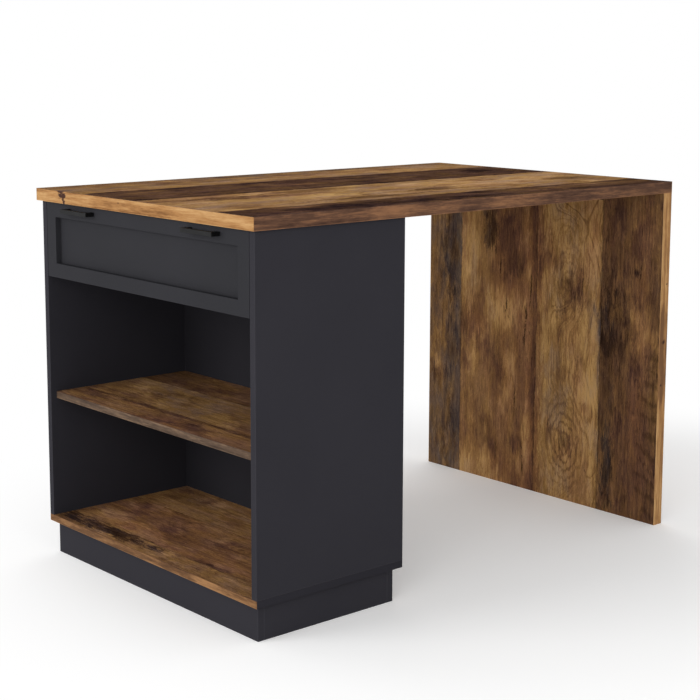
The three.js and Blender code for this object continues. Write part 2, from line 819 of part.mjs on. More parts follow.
// A member as long as the runner, with a row of holes in its web, whose middle lies at u.
function memberGeometry(path, u, holeRadius) {
  const sheet = new THREE.ExtrudeGeometry(sheetShape(mirrored(pathPoints(path)), runnerSheet), {
    depth: runnerLength,
    bevelEnabled: false,
  });
  const holes = [];
  for (let along = runnerHoleStart; along < runnerLength - runnerHoleStart; along += runnerHolePitch) {
    const from = new THREE.Vector3(u - runnerSheet, 0, along);
    const to = new THREE.Vector3(u + runnerSheet, 0, along);
    holes.push(rod(from, to, holeRadius));
  }
  return cut(sheet, holes);
}

// A ball cage: a folded strip with a row of balls caught in each of its two arms.
function cageGeometry(web, row, armLevel, length) {
  const path = new THREE.Path();
  path.moveTo(web, 0);
  path.lineTo(web, armLevel);
  path.lineTo(row.u + ballRadius - cageSheet, armLevel);
  const strip = new THREE.ExtrudeGeometry(sheetShape(mirrored(path.getPoints()), cageSheet), {
    depth: length,
    bevelEnabled: false,
  });
  const pieces = [strip];
  for (const level of [row.v, -row.v]) {
    for (let i = 0; i < ballsInRow; i += 1) {
      const ball = new THREE.SphereGeometry(ballRadius, ballSides, ballRings);
      pieces.push(ball.translate(row.u, level, cageEnd + i * ballPitch));
    }
  }
  return join(pieces);
}

// Turns the section's u and v and its depth to the drawer's side, up and the rear, mirrored on the left.
function addRunnerPiece(parent, name, geometry, sign, y) {
  const frame = new THREE.Group();
  frame.matrixAutoUpdate = false;
  frame.matrix.makeBasis(new THREE.Vector3(-sign, 0, 0), up, rearward);
  frame.matrix.setPosition(onGrid(sign * innerHalf), onGrid(y), onGrid(runnerCentre));
  const mesh = new THREE.Mesh(geometry, materials.zincSteel.clone());
  mesh.name = name;
  frame.add(mesh);
  parent.add(frame);
}

// The cages stand where both members of their track cover them, shut and fully open alike.
function addRunner(side, sign, drawer) {
  for (const [member, path, u, holeRadius, parent] of [
    ['cabinet', cabinetMemberPath(), cabinetWeb, runnerHoleRadius, island],
    ['middle', middleMemberPath(), middleWeb, accessHoleRadius, island],
    ['drawer', drawerMemberPath(), drawerWeb, runnerHoleRadius, drawer],
  ]) {
    const sheet = memberGeometry(path, u, holeRadius);
    addRunnerPiece(parent, `runner_${member}_${side}`, sheet, sign, runnerFront);
  }
  const cageLength = 2 * cageEnd + (ballsInRow - 1) * ballPitch;
  const cageStart = runnerFront + cageStopGap + drawerTravel * outerCageShare;
  const outerCage = cageGeometry(outerCageWeb, outerRow, outerRow.v, cageLength);
  const innerCage = cageGeometry(innerCageWeb, innerRow, innerRow.v - cageSheet, cageLength);
  addRunnerPiece(island, `ball_cage_outer_${side}`, outerCage, sign, cageStart);
  addRunnerPiece(island, `ball_cage_inner_${side}`, innerCage, sign, cageStart);
}

// ---------------------------------------------------------------- assembly

addWorktop();
addLegPanel();
addCabinet();

const drawer = new THREE.Group();
drawer.name = 'drawer';
island.add(drawer);
addDrawerFront(drawer);
addDrawerBox(drawer);
for (const [side, sign] of sides) {
  addLegBracket(side, sign);
  addHandle(drawer, side, sign);
  addRunner(side, sign, drawer);
}

export default island;
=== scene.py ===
import math

import bmesh
import bpy
from mathutils import Euler, Matrix, Vector


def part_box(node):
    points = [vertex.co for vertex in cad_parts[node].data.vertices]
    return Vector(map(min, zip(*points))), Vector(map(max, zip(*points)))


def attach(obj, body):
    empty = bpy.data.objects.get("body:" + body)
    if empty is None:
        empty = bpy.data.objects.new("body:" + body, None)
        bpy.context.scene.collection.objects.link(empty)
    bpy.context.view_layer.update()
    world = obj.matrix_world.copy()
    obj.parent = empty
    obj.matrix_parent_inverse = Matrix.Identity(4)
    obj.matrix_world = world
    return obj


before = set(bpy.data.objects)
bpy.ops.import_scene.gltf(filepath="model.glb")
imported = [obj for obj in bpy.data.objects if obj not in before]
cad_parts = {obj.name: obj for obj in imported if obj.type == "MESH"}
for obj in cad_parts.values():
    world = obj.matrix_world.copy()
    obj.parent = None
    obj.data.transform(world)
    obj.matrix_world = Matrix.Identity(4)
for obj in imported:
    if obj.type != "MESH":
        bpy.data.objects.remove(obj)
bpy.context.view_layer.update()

# ---------------------------------------------------------------- worktop board
# A 28 mm chipboard, 1300 mm long, faced with a matt laminate that is printed as old planks of uneven
# width. The planks run along the worktop. Knots, stains and cracks are all in the print.


def put(tree, socket, value):
    """Sets a socket, or links it when the value is another node's socket."""
    if isinstance(value, bpy.types.NodeSocket):
        tree.links.new(value, socket)
    else:
        socket.default_value = value


def add(tree, kind, inputs=None, **settings):
    node = tree.nodes.new(kind)
    for name, value in settings.items():
        setattr(node, name, value)
    for name, value in (inputs or {}).items():
        put(tree, node.inputs[name], value)
    return node


def calc(tree, operation, *values, clamp=False):
    node = tree.nodes.new("ShaderNodeMath")
    node.operation = operation
    node.use_clamp = clamp
    for socket, value in zip(node.inputs, values):
        put(tree, socket, value)
    return node.outputs[0]


def plus(tree, first, second):
    return calc(tree, "ADD", first, second)


def minus(tree, first, second):
    return calc(tree, "SUBTRACT", first, second)


def times(tree, first, second):
    return calc(tree, "MULTIPLY", first, second)


def larger_of(tree, first, second):
    return calc(tree, "MAXIMUM", first, second)


def clamped(tree, value):
    """The value, kept between 0 and 1."""
    return calc(tree, "ADD", value, 0.0, clamp=True)


def total(tree, *terms):
    """The sum of plain sockets and of (socket, factor) pairs."""
    values = [times(tree, *term) if isinstance(term, tuple) else term for term in terms]
    result = values[0]
    for value in values[1:]:
        result = plus(tree, result, value)
    return result


def shares(effects, amounts):
    """The (socket, factor) pairs of a group's outputs, for a dictionary of their names and factors."""
    return [(effects[name], amount) for name, amount in amounts.items()]


def sloped(tree, value, start, end, low=0.0, high=1.0):
    """Runs smoothly from low to high as value goes from start to end."""
    names = {"Value": value, "From Min": start, "From Max": end, "To Min": low, "To Max": high}
    node = add(tree, "ShaderNodeMapRange", names, interpolation_type="SMOOTHSTEP")
    return node.outputs["Result"]


def blend_colours(tree, amount, first, second, way="MIX"):
    node = tree.nodes.new("ShaderNodeMix")
    node.data_type = "RGBA"
    node.blend_type = way
    # Its sockets 6 and 7 are the two colours; the ones before them take numbers and vectors.
    put(tree, node.inputs["Factor"], amount)
    put(tree, node.inputs[6], first)
    put(tree, node.inputs[7], second)
    return node.outputs[2]


SEED_SHIFT = 37.0  # how far apart in the noise two whole seeds lie


def stretched_noise(tree, across, along, depth, scales, seed, detail=2.0, roughness=0.5):
    """Noise drawn out along the grain. The scales are for across, along and depth, per metre."""
    parts = [times(tree, value, scale) for value, scale in zip((across, along, depth), scales)]
    parts[2] = plus(tree, parts[2], times(tree, seed, SEED_SHIFT))
    vector = add(tree, "ShaderNodeCombineXYZ", dict(zip("XYZ", parts))).outputs[0]
    inputs = {"Vector": vector, "Scale": 1.0, "Detail": detail, "Roughness": roughness}
    return add(tree, "ShaderNodeTexNoise", inputs).outputs["Fac"]


def open_group(name, inputs, outputs):
    """A new shader node group with named number sockets; returns its tree, its inputs and its outputs."""
    tree = bpy.data.node_groups.new(name, "ShaderNodeTree")
    for label in inputs:
        tree.interface.new_socket(label, in_out="INPUT", socket_type="NodeSocketFloat")
    for label in outputs:
        tree.interface.new_socket(label, in_out="OUTPUT", socket_type="NodeSocketFloat")
    return tree, tree.nodes.new("NodeGroupInput").outputs, tree.nodes.new("NodeGroupOutput").inputs


def place_group(tree, group, inputs):
    node = tree.nodes.new("ShaderNodeGroup")
    node.node_tree = group
    for name, value in inputs.items():
        put(tree, node.inputs[name], value)
    return node.outputs


def colour(red, green, blue):
    """A linear colour from the eight-bit values that a screen shows."""
    def linear(value):
        share = value / 255
        return share / 12.92 if share <= 0.04045 else ((share + 0.055) / 1.055) ** 2.4

    return (linear(red), linear(green), linear(blue), 1.0)


def new_material(name):
    """A material with an empty tree, its Principled shader and the place in the part's frame as x, y, z."""
    material = bpy.data.materials.new(name)
    material.use_nodes = True
    tree = material.node_tree
    shader = tree.nodes["Principled BSDF"]
    coordinates = tree.nodes.new("ShaderNodeTexCoord").outputs["Object"]
    parts = add(tree, "ShaderNodeSeparateXYZ", {"Vector": coordinates}).outputs
    return material, tree, shader, {axis: parts[axis] for axis in "XYZ"}


# Each row is a noise of the print: its name, its scales across, along and in depth, what it adds to the
# seed, its detail and roughness, and the slope that its values are drawn out on.
FIBRE_NOISES = [
    ("Fine", (480, 34, 480), 0.0, 4.0, 0.7, (0.3, 0.7, -0.5, 0.5)),
    ("Streaks", (120, 7.0, 120), 0.0, 6.0, 0.72, (0.3, 0.7, -0.5, 0.5)),
    ("Pores", (1300, 38, 1300), 0.0, 1.0, 0.5, (0.4, 0.3)),
]
CLOUD_NOISES = [
    ("Wide", (10, 5, 10), 0.0, 4.0, 0.6, (0.32, 0.68, -0.5, 0.5)),
    ("Close", (40, 22, 40), 0.0, 4.0, 0.7, (0.3, 0.7, -0.5, 0.5)),
    ("Mottle", (260, 190, 260), 0.7, 4.0, 0.75, (0.3, 0.7, -0.5, 0.5)),
    ("Blotches", (17, 10, 17), 0.2, 7.0, 0.62, (0.52, 0.62)),
    ("Gilt", (15, 8, 15), 0.9, 7.0, 0.62, (0.55, 0.66)),
    ("Warmth", (9, 2.6, 9), 0.5, 3.0, 0.6, (0.34, 0.66, -0.5, 0.5)),
    ("Fade", (26, 12, 26), 0.35, 6.0, 0.7, (0.36, 0.64, -0.5, 0.5)),
]
CLOUD_DRAG = 0.09


def put_out_noises(tree, noises, grain, seed, result):
    for name, scales, added_seed, detail, roughness, slope in noises:
        noise = stretched_noise(tree, *grain, scales, plus(tree, seed, added_seed), detail, roughness)
        put(tree, result[name], sloped(tree, noise, *slope))


def fibres_group():
    """Long thin fibres: fine ones, wider streaks, open pores, and the drag that frays a stain."""
    outputs = [row[0] for row in FIBRE_NOISES] + ["Drag"]
    tree, given, result = open_group("wood fibres", ["Across", "Along", "Depth", "Seed"], outputs)
    grain = [given["Across"], given["Along"], given["Depth"]]
    put_out_noises(tree, FIBRE_NOISES, grain, given["Seed"], result)
    drag = stretched_noise(tree, *grain, (230, 12, 230), plus(tree, given["Seed"], 0.37), 4.0, 0.65)
    put(tree, result["Drag"], minus(tree, drag, 0.5))
    return tree


def clouds_group():
    """Light and dark patches with frayed ends, from wide ones to ones a few millimetres across."""
    labels = ["Across", "Along", "Depth", "Seed", "Drag"]
    tree, given, result = open_group("wood clouds", labels, [row[0] for row in CLOUD_NOISES])
    pulled = plus(tree, given["Along"], times(tree, given["Drag"], CLOUD_DRAG))
    grain = [given["Across"], pulled, given["Depth"]]
    put_out_noises(tree, CLOUD_NOISES, grain, given["Seed"], result)
    return tree


PLANK_SHIFT = 11.0  # along the grain, for each whole seed
HEART_SWAY = 0.07
HEART_RIPPLE = 0.012
HEART_DEPTHS = (0.01, 0.12)  # under the plank's face
RING_FRAY = 0.0011


def figure_group():
    """How far a point is from the tree's heart: its level lines are the growth rings of a sawn plank."""
    tree, given, result = open_group("plank figure", ["Across", "Along", "Depth", "Seed"], ["Heart"])
    shifted = plus(tree, given["Along"], times(tree, given["Seed"], PLANK_SHIFT))
    grain = [given["Across"], shifted, given["Depth"]]
    sway = stretched_noise(tree, *grain, (4.0, 1.7, 4.0), given["Seed"], 2.0)
    bend = times(tree, minus(tree, sway, 0.5), HEART_SWAY)
    ripple = stretched_noise(tree, *grain, (40, 9, 40), given["Seed"], 2.0, 0.6)
    bend = plus(tree, bend, times(tree, minus(tree, ripple, 0.5), HEART_RIPPLE))
    rise = stretched_noise(tree, 0.0, shifted, 0.0, (1, 2.4, 1), given["Seed"], 1.0)
    below = sloped(tree, rise, 0.3, 0.7, *HEART_DEPTHS)
    side = plus(tree, given["Across"], bend)
    squares = plus(tree, times(tree, side, side), times(tree, below, below))
    put(tree, result["Heart"], calc(tree, "SQRT", squares))
    return tree


def rings_group():
    """Uneven dark lines along the growth rings, strong in some years and faint in others."""
    tree, given, result = open_group("growth rings", ["Heart", "Along", "Seed", "Fine"], ["Lines"])
    ragged = plus(tree, given["Heart"], times(tree, given["Fine"], RING_FRAY))
    years = stretched_noise(tree, ragged, given["Along"], 0.0, (210, 0.9, 1), given["Seed"], 2.0, 0.7)
    put(tree, result["Lines"], sloped(tree, years, 0.5, 0.32))
    return tree


KNOT_RING_TURNS = 430.0  # radians per metre, so a ring every 15 mm
KNOT_SHAPE = 0.62  # its width over its length along the grain
KNOT_FRAY = 0.003


def knot_group():
    """Swells the heart distance round a knot, so that the rings bend, and marks its own rings and core."""
    labels = ["Heart", "Across", "Along", "Centre Across", "Centre Along", "Radius", "Streaks", "Uneven"]
    tree, given, result = open_group("knot", labels, ["Heart", "Rings", "Core"])
    side = minus(tree, given["Across"], given["Centre Across"])
    way = times(tree, minus(tree, given["Along"], given["Centre Along"]), KNOT_SHAPE)
    squares = plus(tree, times(tree, side, side), times(tree, way, way))
    distance = plus(tree, calc(tree, "SQRT", squares), times(tree, given["Streaks"], KNOT_FRAY))
    near = calc(tree, "DIVIDE", distance, given["Radius"])
    swell = sloped(tree, near, 1.0, 0.0, 0.0, 1.0)
    rise = times(tree, times(tree, swell, given["Radius"]), 0.95)
    put(tree, result["Heart"], plus(tree, given["Heart"], rise))
    turns = total(tree, (distance, KNOT_RING_TURNS), (given["Uneven"], 4.0), (given["Streaks"], 0.5))
    lines = sloped(tree, calc(tree, "SINE", turns), 0.1, 0.95)
    put(tree, result["Rings"], times(tree, lines, sloped(tree, near, 0.95, 0.3)))
    put(tree, result["Core"], sloped(tree, near, 0.2, 0.04, 0.0, 0.55))
    return tree


def stain_group():
    """An oval patch with a ragged rim."""
    labels = ["Across", "Along", "Centre Across", "Centre Along", "Half Width", "Half Length", "Ragged"]
    tree, given, result = open_group("stain", labels, ["Mask"])
    side = calc(tree, "DIVIDE", minus(tree, given["Across"], given["Centre Across"]), given["Half Width"])
    way = calc(tree, "DIVIDE", minus(tree, given["Along"], given["Centre Along"]), given["Half Length"])
    squares = plus(tree, times(tree, side, side), times(tree, way, way))
    distance = plus(tree, calc(tree, "SQRT", squares), given["Ragged"])
    put(tree, result["Mask"], sloped(tree, distance, 1.35, 0.5))
    return tree


CRACK_WANDER = 0.02
CRACK_RIM = 0.0011


def crack_group():
    """A thin crack along the grain that wanders, narrows towards its ends and fades in places."""
    labels = ["Across", "Along", "Centre", "Start", "End", "Slant", "Width", "Wander", "Breaks"]
    tree, given, result = open_group("crack", labels, ["Mask"])
    half = times(tree, minus(tree, given["End"], given["Start"]), 0.5)
    centre = times(tree, plus(tree, given["End"], given["Start"]), 0.5)
    run = calc(tree, "DIVIDE", minus(tree, given["Along"], centre), half)
    middle = plus(tree, given["Centre"], times(tree, given["Wander"], CRACK_WANDER))
    middle = plus(tree, middle, times(tree, run, given["Slant"]))
    away = calc(tree, "ABSOLUTE", minus(tree, given["Across"], middle))
    taper = sloped(tree, calc(tree, "ABSOLUTE", run), 1.0, 0.4)
    width = times(tree, given["Width"], times(tree, taper, given["Breaks"]))
    shown = times(tree, taper, sloped(tree, given["Breaks"], 0.1, 0.35))
    put(tree, result["Mask"], sloped(tree, minus(tree, away, width), CRACK_RIM, 0.0, 0.0, shown))
    return tree


FIBRES = fibres_group()
CLOUDS = clouds_group()
FIGURE = figure_group()
RINGS = rings_group()
KNOT = knot_group()
STAIN = stain_group()
CRACK = crack_group()

GOLD_TONES = [
    (0.00, colour(45, 31, 22)),
    (0.25, colour(83, 59, 40)),
    (0.50, colour(120, 88, 55)),
    (0.75, colour(160, 121, 74)),
    (1.00, colour(202, 160, 103)),
]
RED_TONES = [
    (0.00, colour(41, 29, 25)),
    (0.25, colour(73, 51, 40)),
    (0.50, colour(106, 73, 52)),
    (0.75, colour(145, 101, 66)),
    (1.00, colour(186, 136, 90)),
]
GREY_TONES = [
    (0.00, colour(42, 38, 36)),
    (0.25, colour(66, 56, 49)),
    (0.50, colour(94, 79, 66)),
    (0.75, colour(124, 104, 84)),
    (1.00, colour(156, 132, 106)),
]
TAR = colour(24, 18, 15)  # in cracks, seams and the hearts of knots
TAR_SHARE = 0.82
DUST = (0.98, 1.0, 1.45, 1.0)  # what the print's duller patches are multiplied by


def tone_ramp(tree, value, stops, interpolation="LINEAR"):
    node = tree.nodes.new("ShaderNodeValToRGB")
    ramp = node.color_ramp
    ramp.interpolation = interpolation
    while len(ramp.elements) < len(stops):
        ramp.elements.new(1.0)
    for element, (position, shade) in zip(ramp.elements, stops):
        element.position = position
        element.color = shade
    put(tree, node.inputs["Fac"], value)
    return node.outputs["Color"]


def plank_values(tree, share, stops):
    """Three numbers of the plank that a point lies in, from a ramp with one flat step for each plank."""
    steps = tone_ramp(tree, share, stops, "CONSTANT")
    return add(tree, "ShaderNodeSeparateColor", {"Color": steps}).outputs


def plank_course(tree, frayed, start, width, planks):
    """The look, the seed and the heart's place of the plank that a point lies in, and where the seams are."""
    share = calc(tree, "DIVIDE", minus(tree, frayed, start), width)
    looks, hearts, seams, edge = [], [], [], 0.0
    # A ramp holds numbers from 0 to 1, so a heart's place is halved to leave room for one beside the board.
    for index, (plank_width, tone, hue, rings, heart) in enumerate(planks):
        seed = (index + 1) / 10
        heart_share = (edge + plank_width / 2 + heart) / width
        looks.append((edge / width, (tone, hue / 2 + 0.5, rings, 1.0)))
        hearts.append((edge / width, (heart_share * 0.5 + 0.25, seed, 0.0, 1.0)))
        edge += plank_width
        seams.append(start + edge)
    look = plank_values(tree, share, looks)
    heart = plank_values(tree, share, hearts)
    heart_place = total(tree, (heart["Red"], 2.0 * width), start - 0.5 * width)
    return look, heart["Green"], heart_place, seams[:-1]


def bend_round_knots(tree, grain, fibres, clouds, distance, knots):
    """Swells the heart distance round each knot; returns it with the knots' rings and cores."""
    rings, cores = 0.0, 0.0
    for side, way, radius, darkness in knots:
        inputs = {"Heart": distance, "Across": grain["Across"], "Along": grain["Along"]}
        inputs.update({"Centre Across": side, "Centre Along": way, "Radius": radius})
        inputs.update({"Streaks": fibres["Streaks"], "Uneven": clouds["Close"]})
        knot = place_group(tree, KNOT, inputs)
        distance = knot["Heart"]
        rings = larger_of(tree, rings, times(tree, knot["Rings"], darkness))
        cores = larger_of(tree, cores, times(tree, knot["Core"], darkness))
    return distance, rings, cores


def stain_mask(tree, grain, side, way, half_width, half_length, ragged):
    inputs = {"Across": grain["Across"], "Along": grain["Along"], "Centre Across": side, "Centre Along": way}
    inputs.update({"Half Width": half_width, "Half Length": half_length, "Ragged": ragged})
    return place_group(tree, STAIN, inputs)["Mask"]


# What each effect adds to the tone, from dark to light.
CLOUD_TONES = {"Wide": 0.11, "Close": 0.09, "Mottle": 0.32, "Blotches": -0.13, "Gilt": 0.19}
FIBRE_TONES = {"Streaks": 0.21, "Fine": 0.16, "Pores": -0.08}
RING_TONE = -0.24
TONE_LIFT = 0.03
# What each effect adds to the hue, from grey over golden to red.
WARMTH_HUE = 0.6
STREAK_HUE = -0.15
BLOTCH_HUE = 0.35
FADE_GREYNESS = 0.5
GILT_GREYNESS = -0.3
# How far each effect draws the rim of a stain in or out.
CLOUD_FRAY = {"Wide": 0.3, "Close": 0.9, "Mottle": 0.35}
DRAG_FRAY = 0.8
KNOT_RING_GAIN = 1.4
SAW_MARK_TURNS = 150.0  # radians per metre, so a mark every 42 mm
SAW_MARK_DARKNESS = 0.45
PRINT_ROUGHNESS = 0.6
PORE_RELIEF = -0.8
DARK_RELIEF = -1.5
SEAM_HALF_WIDTH = 0.0026
SEAM_CORE = 0.0004
SEAM_DARKNESS = 0.45
END_BAND = 0.0008
END_GLUE = 0.0002
GRAIN_RELIEF = 0.0004


def print_colour(tree, tone, hue, clouds, dust):
    """The print's colour for a tone and a hue, greyed and dulled in patches."""
    base = tone_ramp(tree, tone, GOLD_TONES)
    base = blend_colours(tree, clamped(tree, hue), base, tone_ramp(tree, tone, RED_TONES))
    greyed = total(tree, (hue, -1.0), (clouds["Fade"], FADE_GREYNESS), (clouds["Gilt"], GILT_GREYNESS))
    base = blend_colours(tree, clamped(tree, greyed), base, tone_ramp(tree, tone, GREY_TONES))
    dulled = total(tree, (clouds["Fade"], dust), (tone, -0.3), dust / 2 + 0.12)
    return blend_colours(tree, clamped(tree, dulled), base, DUST, "MULTIPLY")


def saw_mark_mask(tree, grain, fibres, clouds, ragged, side, half_width, way, half_length, slope):
    where = stain_mask(tree, grain, side, way, half_width, half_length, ragged)
    phase = total(tree, (grain["Along"], SAW_MARK_TURNS), (grain["Across"], SAW_MARK_TURNS * slope))
    phase = total(tree, phase, (clouds["Wide"], 5.0), (fibres["Drag"], 4.0), (clouds["Mottle"], 0.8))
    wave = sloped(tree, calc(tree, "SINE", phase), 0.2, 1.0)
    return times(tree, times(tree, wave, where), SAW_MARK_DARKNESS)


def crack_masks(tree, grain, cracks):
    if not cracks:
        return []
    wander = stretched_noise(tree, grain["Across"], grain["Along"], 0.0, (6, 20, 1), 0.3, 6.0, 0.75)
    wander = minus(tree, wander, 0.5)
    breaks = stretched_noise(tree, grain["Across"], grain["Along"], 0.0, (25, 26, 1), 0.7, 4.0, 0.7)
    breaks = sloped(tree, breaks, 0.34, 0.62)
    masks = []
    for centre, start, end, slant, width in cracks:
        inputs = {"Across": grain["Across"], "Along": grain["Along"], "Wander": wander, "Breaks": breaks}
        inputs.update({"Centre": centre, "Start": start, "End": end, "Slant": slant, "Width": width})
        masks.append(place_group(tree, CRACK, inputs)["Mask"])
    return masks


def split_masks(tree, grain, ragged, splits):
    """Patches where the grain has split into many short gaps."""
    if not splits:
        return []
    gaps = stretched_noise(tree, grain["Across"], grain["Along"], 0.0, (170, 27, 1), 0.45, 5.0, 0.68)
    gaps = sloped(tree, gaps, 0.43, 0.36)
    masks = []
    for side, way, half_width, half_length, strength in splits:
        where = stain_mask(tree, grain, side, way, half_width, half_length, ragged)
        masks.append(times(tree, times(tree, where, strength), gaps))
    return masks


def seam_masks(tree, frayed, seams):
    masks = []
    for seam in seams:
        away = calc(tree, "ABSOLUTE", minus(tree, frayed, seam))
        masks.append(sloped(tree, away, SEAM_HALF_WIDTH, SEAM_CORE, 0.0, SEAM_DARKNESS))
    return masks


def plank_decor(
    name, node, across, along, planks, knots=(), stains=(), cracks=(), splits=(), saw_marks=(), ends=(),
    fray=0.02, dust=1.0
):
    """The printed plank laminate of one board. Places are metres across and along it.

    planks are (width, tone, hue, rings, heart) from the board's low side. Tone runs from 0, dark, to 1,
    light, hue from -1, grey, over 0, golden, to 1, red, rings says how much the growth rings show, and
    heart how far the tree's heart lies from the plank's middle. knots are (across, along, radius,
    darkness), stains (across, along, half width, half length, lighter, redder), cracks (across, start,
    end, slant, width), splits (across, along, half width, half length, strength), and saw_marks (across,
    half width, along, half length, slope). ends is the half length and the colour of the bands on the
    board's short ends, if it has any. fray says how far the planks' edges wander, and dust how dull the
    print's duller patches are.
    """
    material, tree, shader, place = new_material(name)
    depth_axis = ({"X", "Y", "Z"} - {across, along}).pop()
    grain = {"Across": place[across], "Along": place[along], "Depth": place[depth_axis]}
    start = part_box(node)[0]["XYZ".index(across)]
    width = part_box(node)[1]["XYZ".index(across)] - start
    edge_noise = stretched_noise(tree, grain["Across"], grain["Along"], 0.0, (55, 16, 1), 0.15, 6.0, 0.75)
    frayed = total(tree, grain["Across"], (minus(tree, edge_noise, 0.5), fray))
    look, seed, heart_place, seams = plank_course(tree, frayed, start, width, planks)

    fibres = place_group(tree, FIBRES, {**grain, "Seed": seed})
    clouds = place_group(tree, CLOUDS, {**grain, "Seed": seed, "Drag": fibres["Drag"]})
    from_heart = minus(tree, grain["Across"], heart_place)
    distance = place_group(tree, FIGURE, {**grain, "Across": from_heart, "Seed": seed})["Heart"]
    distance, knot_rings, cores = bend_round_knots(tree, grain, fibres, clouds, distance, knots)
    inputs = {"Heart": distance, "Along": grain["Along"], "Seed": seed, "Fine": fibres["Fine"]}
    rings = times(tree, place_group(tree, RINGS, inputs)["Lines"], look["Blue"])
    rings = larger_of(tree, rings, times(tree, knot_rings, KNOT_RING_GAIN))

    ragged = total(tree, *shares(clouds, CLOUD_FRAY), (fibres["Drag"], DRAG_FRAY))
    tone = total(tree, look["Red"], *shares(clouds, CLOUD_TONES), *shares(fibres, FIBRE_TONES))
    tone = total(tree, tone, (rings, RING_TONE), TONE_LIFT)
    hue = total(tree, (look["Green"], 2.0), -1.0, (clouds["Warmth"], WARMTH_HUE))
    hue = total(tree, hue, (fibres["Streaks"], STREAK_HUE), (clouds["Blotches"], BLOTCH_HUE))
    for side, way, half_width, half_length, lighter, redder in stains:
        mask = stain_mask(tree, grain, side, way, half_width, half_length, ragged)
        tone = total(tree, tone, (mask, lighter))
        if redder:
            hue = total(tree, hue, (mask, redder))

    dark = cores
    if saw_marks:
        dark = larger_of(tree, dark, saw_mark_mask(tree, grain, fibres, clouds, ragged, *saw_marks))
    masks = crack_masks(tree, grain, cracks) + split_masks(tree, grain, ragged, splits)
    for mask in masks + seam_masks(tree, frayed, seams):
        dark = larger_of(tree, dark, mask)
    base = print_colour(tree, tone, hue, clouds, dust)
    base = blend_colours(tree, times(tree, dark, TAR_SHARE), base, TAR)
    if ends:
        half_length, band_shade = ends
        from_middle = calc(tree, "ABSOLUTE", grain["Along"])
        in_band = sloped(tree, from_middle, half_length - END_BAND, half_length - END_GLUE)
        base = blend_colours(tree, in_band, base, band_shade)
    put(tree, shader.inputs["Base Color"], base)

    rough = total(tree, PRINT_ROUGHNESS, (fibres["Streaks"], 0.1), (dark, 0.15))
    put(tree, shader.inputs["Roughness"], rough)
    shader.inputs["Specular IOR Level"].default_value = 0.0
    relief = total(tree, fibres["Fine"], (fibres["Pores"], PORE_RELIEF), (dark, DARK_RELIEF))
    bump = add(tree, "ShaderNodeBump", {"Height": relief, "Strength": 0.35, "Distance": GRAIN_RELIEF})
    put(tree, shader.inputs["Normal"], bump.outputs["Normal"])
    return material


EASED_EDGE = 0.0004
EASED_FROM = 40  # degrees between two faces
WELD_REACH = 0.00001


def finish_board(node, material, edge=EASED_EDGE):
    """Gives a node its material and takes the sharpness off its edges."""
    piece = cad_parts[node]
    piece.data.materials.clear()
    piece.data.materials.append(material)
    piece.modifiers.new("joined corners", "WELD").merge_threshold = WELD_REACH
    eased = piece.modifiers.new("eased edges", "BEVEL")
    eased.width = edge
    eased.segments = 2
    eased.limit_method = "ANGLE"
    eased.angle_limit = math.radians(EASED_FROM)
    piece.modifiers.new("even light", "WEIGHTED_NORMAL").keep_sharp = True


WORKTOP_PLANKS = [
    (0.195, 0.61, -0.05, 0.4, 0.20),
    (0.214, 0.28, 0.35, 0.3, -0.18),
    (0.290, 0.76, 0.05, 0.7, 0.05),
    (0.119, 0.24, 0.35, 0.3, 0.20),
]
WORKTOP_KNOTS = [
    (0.075, -0.470, 0.060, 0.6),
    (0.200, 0.050, 0.060, 0.4),
    (0.130, 0.500, 0.070, 0.3),
    (-0.310, -0.360, 0.060, 0.2),
]
WORKTOP_STAINS = [
    (-0.385, 0.050, 0.025, 0.600, -0.08, -0.4),
    (-0.258, 0.000, 0.032, 0.700, 0.15, 0.0),
    (-0.203, 0.000, 0.012, 0.700, -0.10, 0.3),
    (-0.115, -0.200, 0.030, 0.450, 0.08, 0.0),
    (-0.100, 0.550, 0.090, 0.090, -0.12, 0.0),
    (-0.010, 0.000, 0.010, 0.600, -0.08, 0.0),
    (0.070, -0.440, 0.035, 0.110, -0.22, 0.3),
    (0.040, -0.180, 0.030, 0.120, -0.16, 0.2),
    (0.150, -0.300, 0.030, 0.160, 0.16, -0.1),
    (0.240, -0.180, 0.020, 0.130, -0.24, 0.3),
    (0.190, 0.060, 0.025, 0.080, -0.26, 0.1),
    (0.170, 0.540, 0.030, 0.090, -0.26, 0.0),
    (0.060, 0.300, 0.030, 0.150, -0.12, 0.1),
    (0.370, -0.300, 0.035, 0.420, -0.16, 0.2),
    (0.340, 0.350, 0.030, 0.300, 0.20, -0.1),
    (0.310, -0.400, 0.014, 0.160, 0.14, 0.0),
    (-0.310, 0.380, 0.060, 0.260, 0.12, 0.0),
    (0.110, 0.330, 0.100, 0.260, 0.17, 0.0),
]
WORKTOP_SPLITS = [
    (0.090, -0.430, 0.050, 0.160, 0.9),
    (0.130, -0.230, 0.040, 0.120, 0.8),
    (0.238, -0.180, 0.020, 0.160, 1.0),
    (0.180, 0.060, 0.035, 0.090, 1.0),
    (0.170, 0.530, 0.035, 0.110, 0.9),
    (0.060, 0.330, 0.030, 0.160, 0.7),
    (-0.300, -0.250, 0.050, 0.200, 0.5),
    (-0.100, 0.100, 0.080, 0.500, 0.5),
    (0.370, -0.250, 0.030, 0.450, 1.0),
]
WORKTOP_CRACKS = [
    (0.055, -0.620, -0.280, 0.006, 0.0019),
    (0.090, -0.560, -0.380, -0.004, 0.0016),
    (0.190, -0.280, 0.110, 0.004, 0.0017),
    (0.238, -0.320, -0.020, 0.003, 0.0019),
    (0.060, 0.180, 0.560, 0.005, 0.0015),
    (-0.300, -0.300, 0.100, 0.004, 0.0014),
    (-0.255, 0.150, 0.600, 0.004, 0.0014),
    (0.170, 0.420, 0.630, 0.003, 0.0017),
]
WORKTOP_FRAY = 0.045
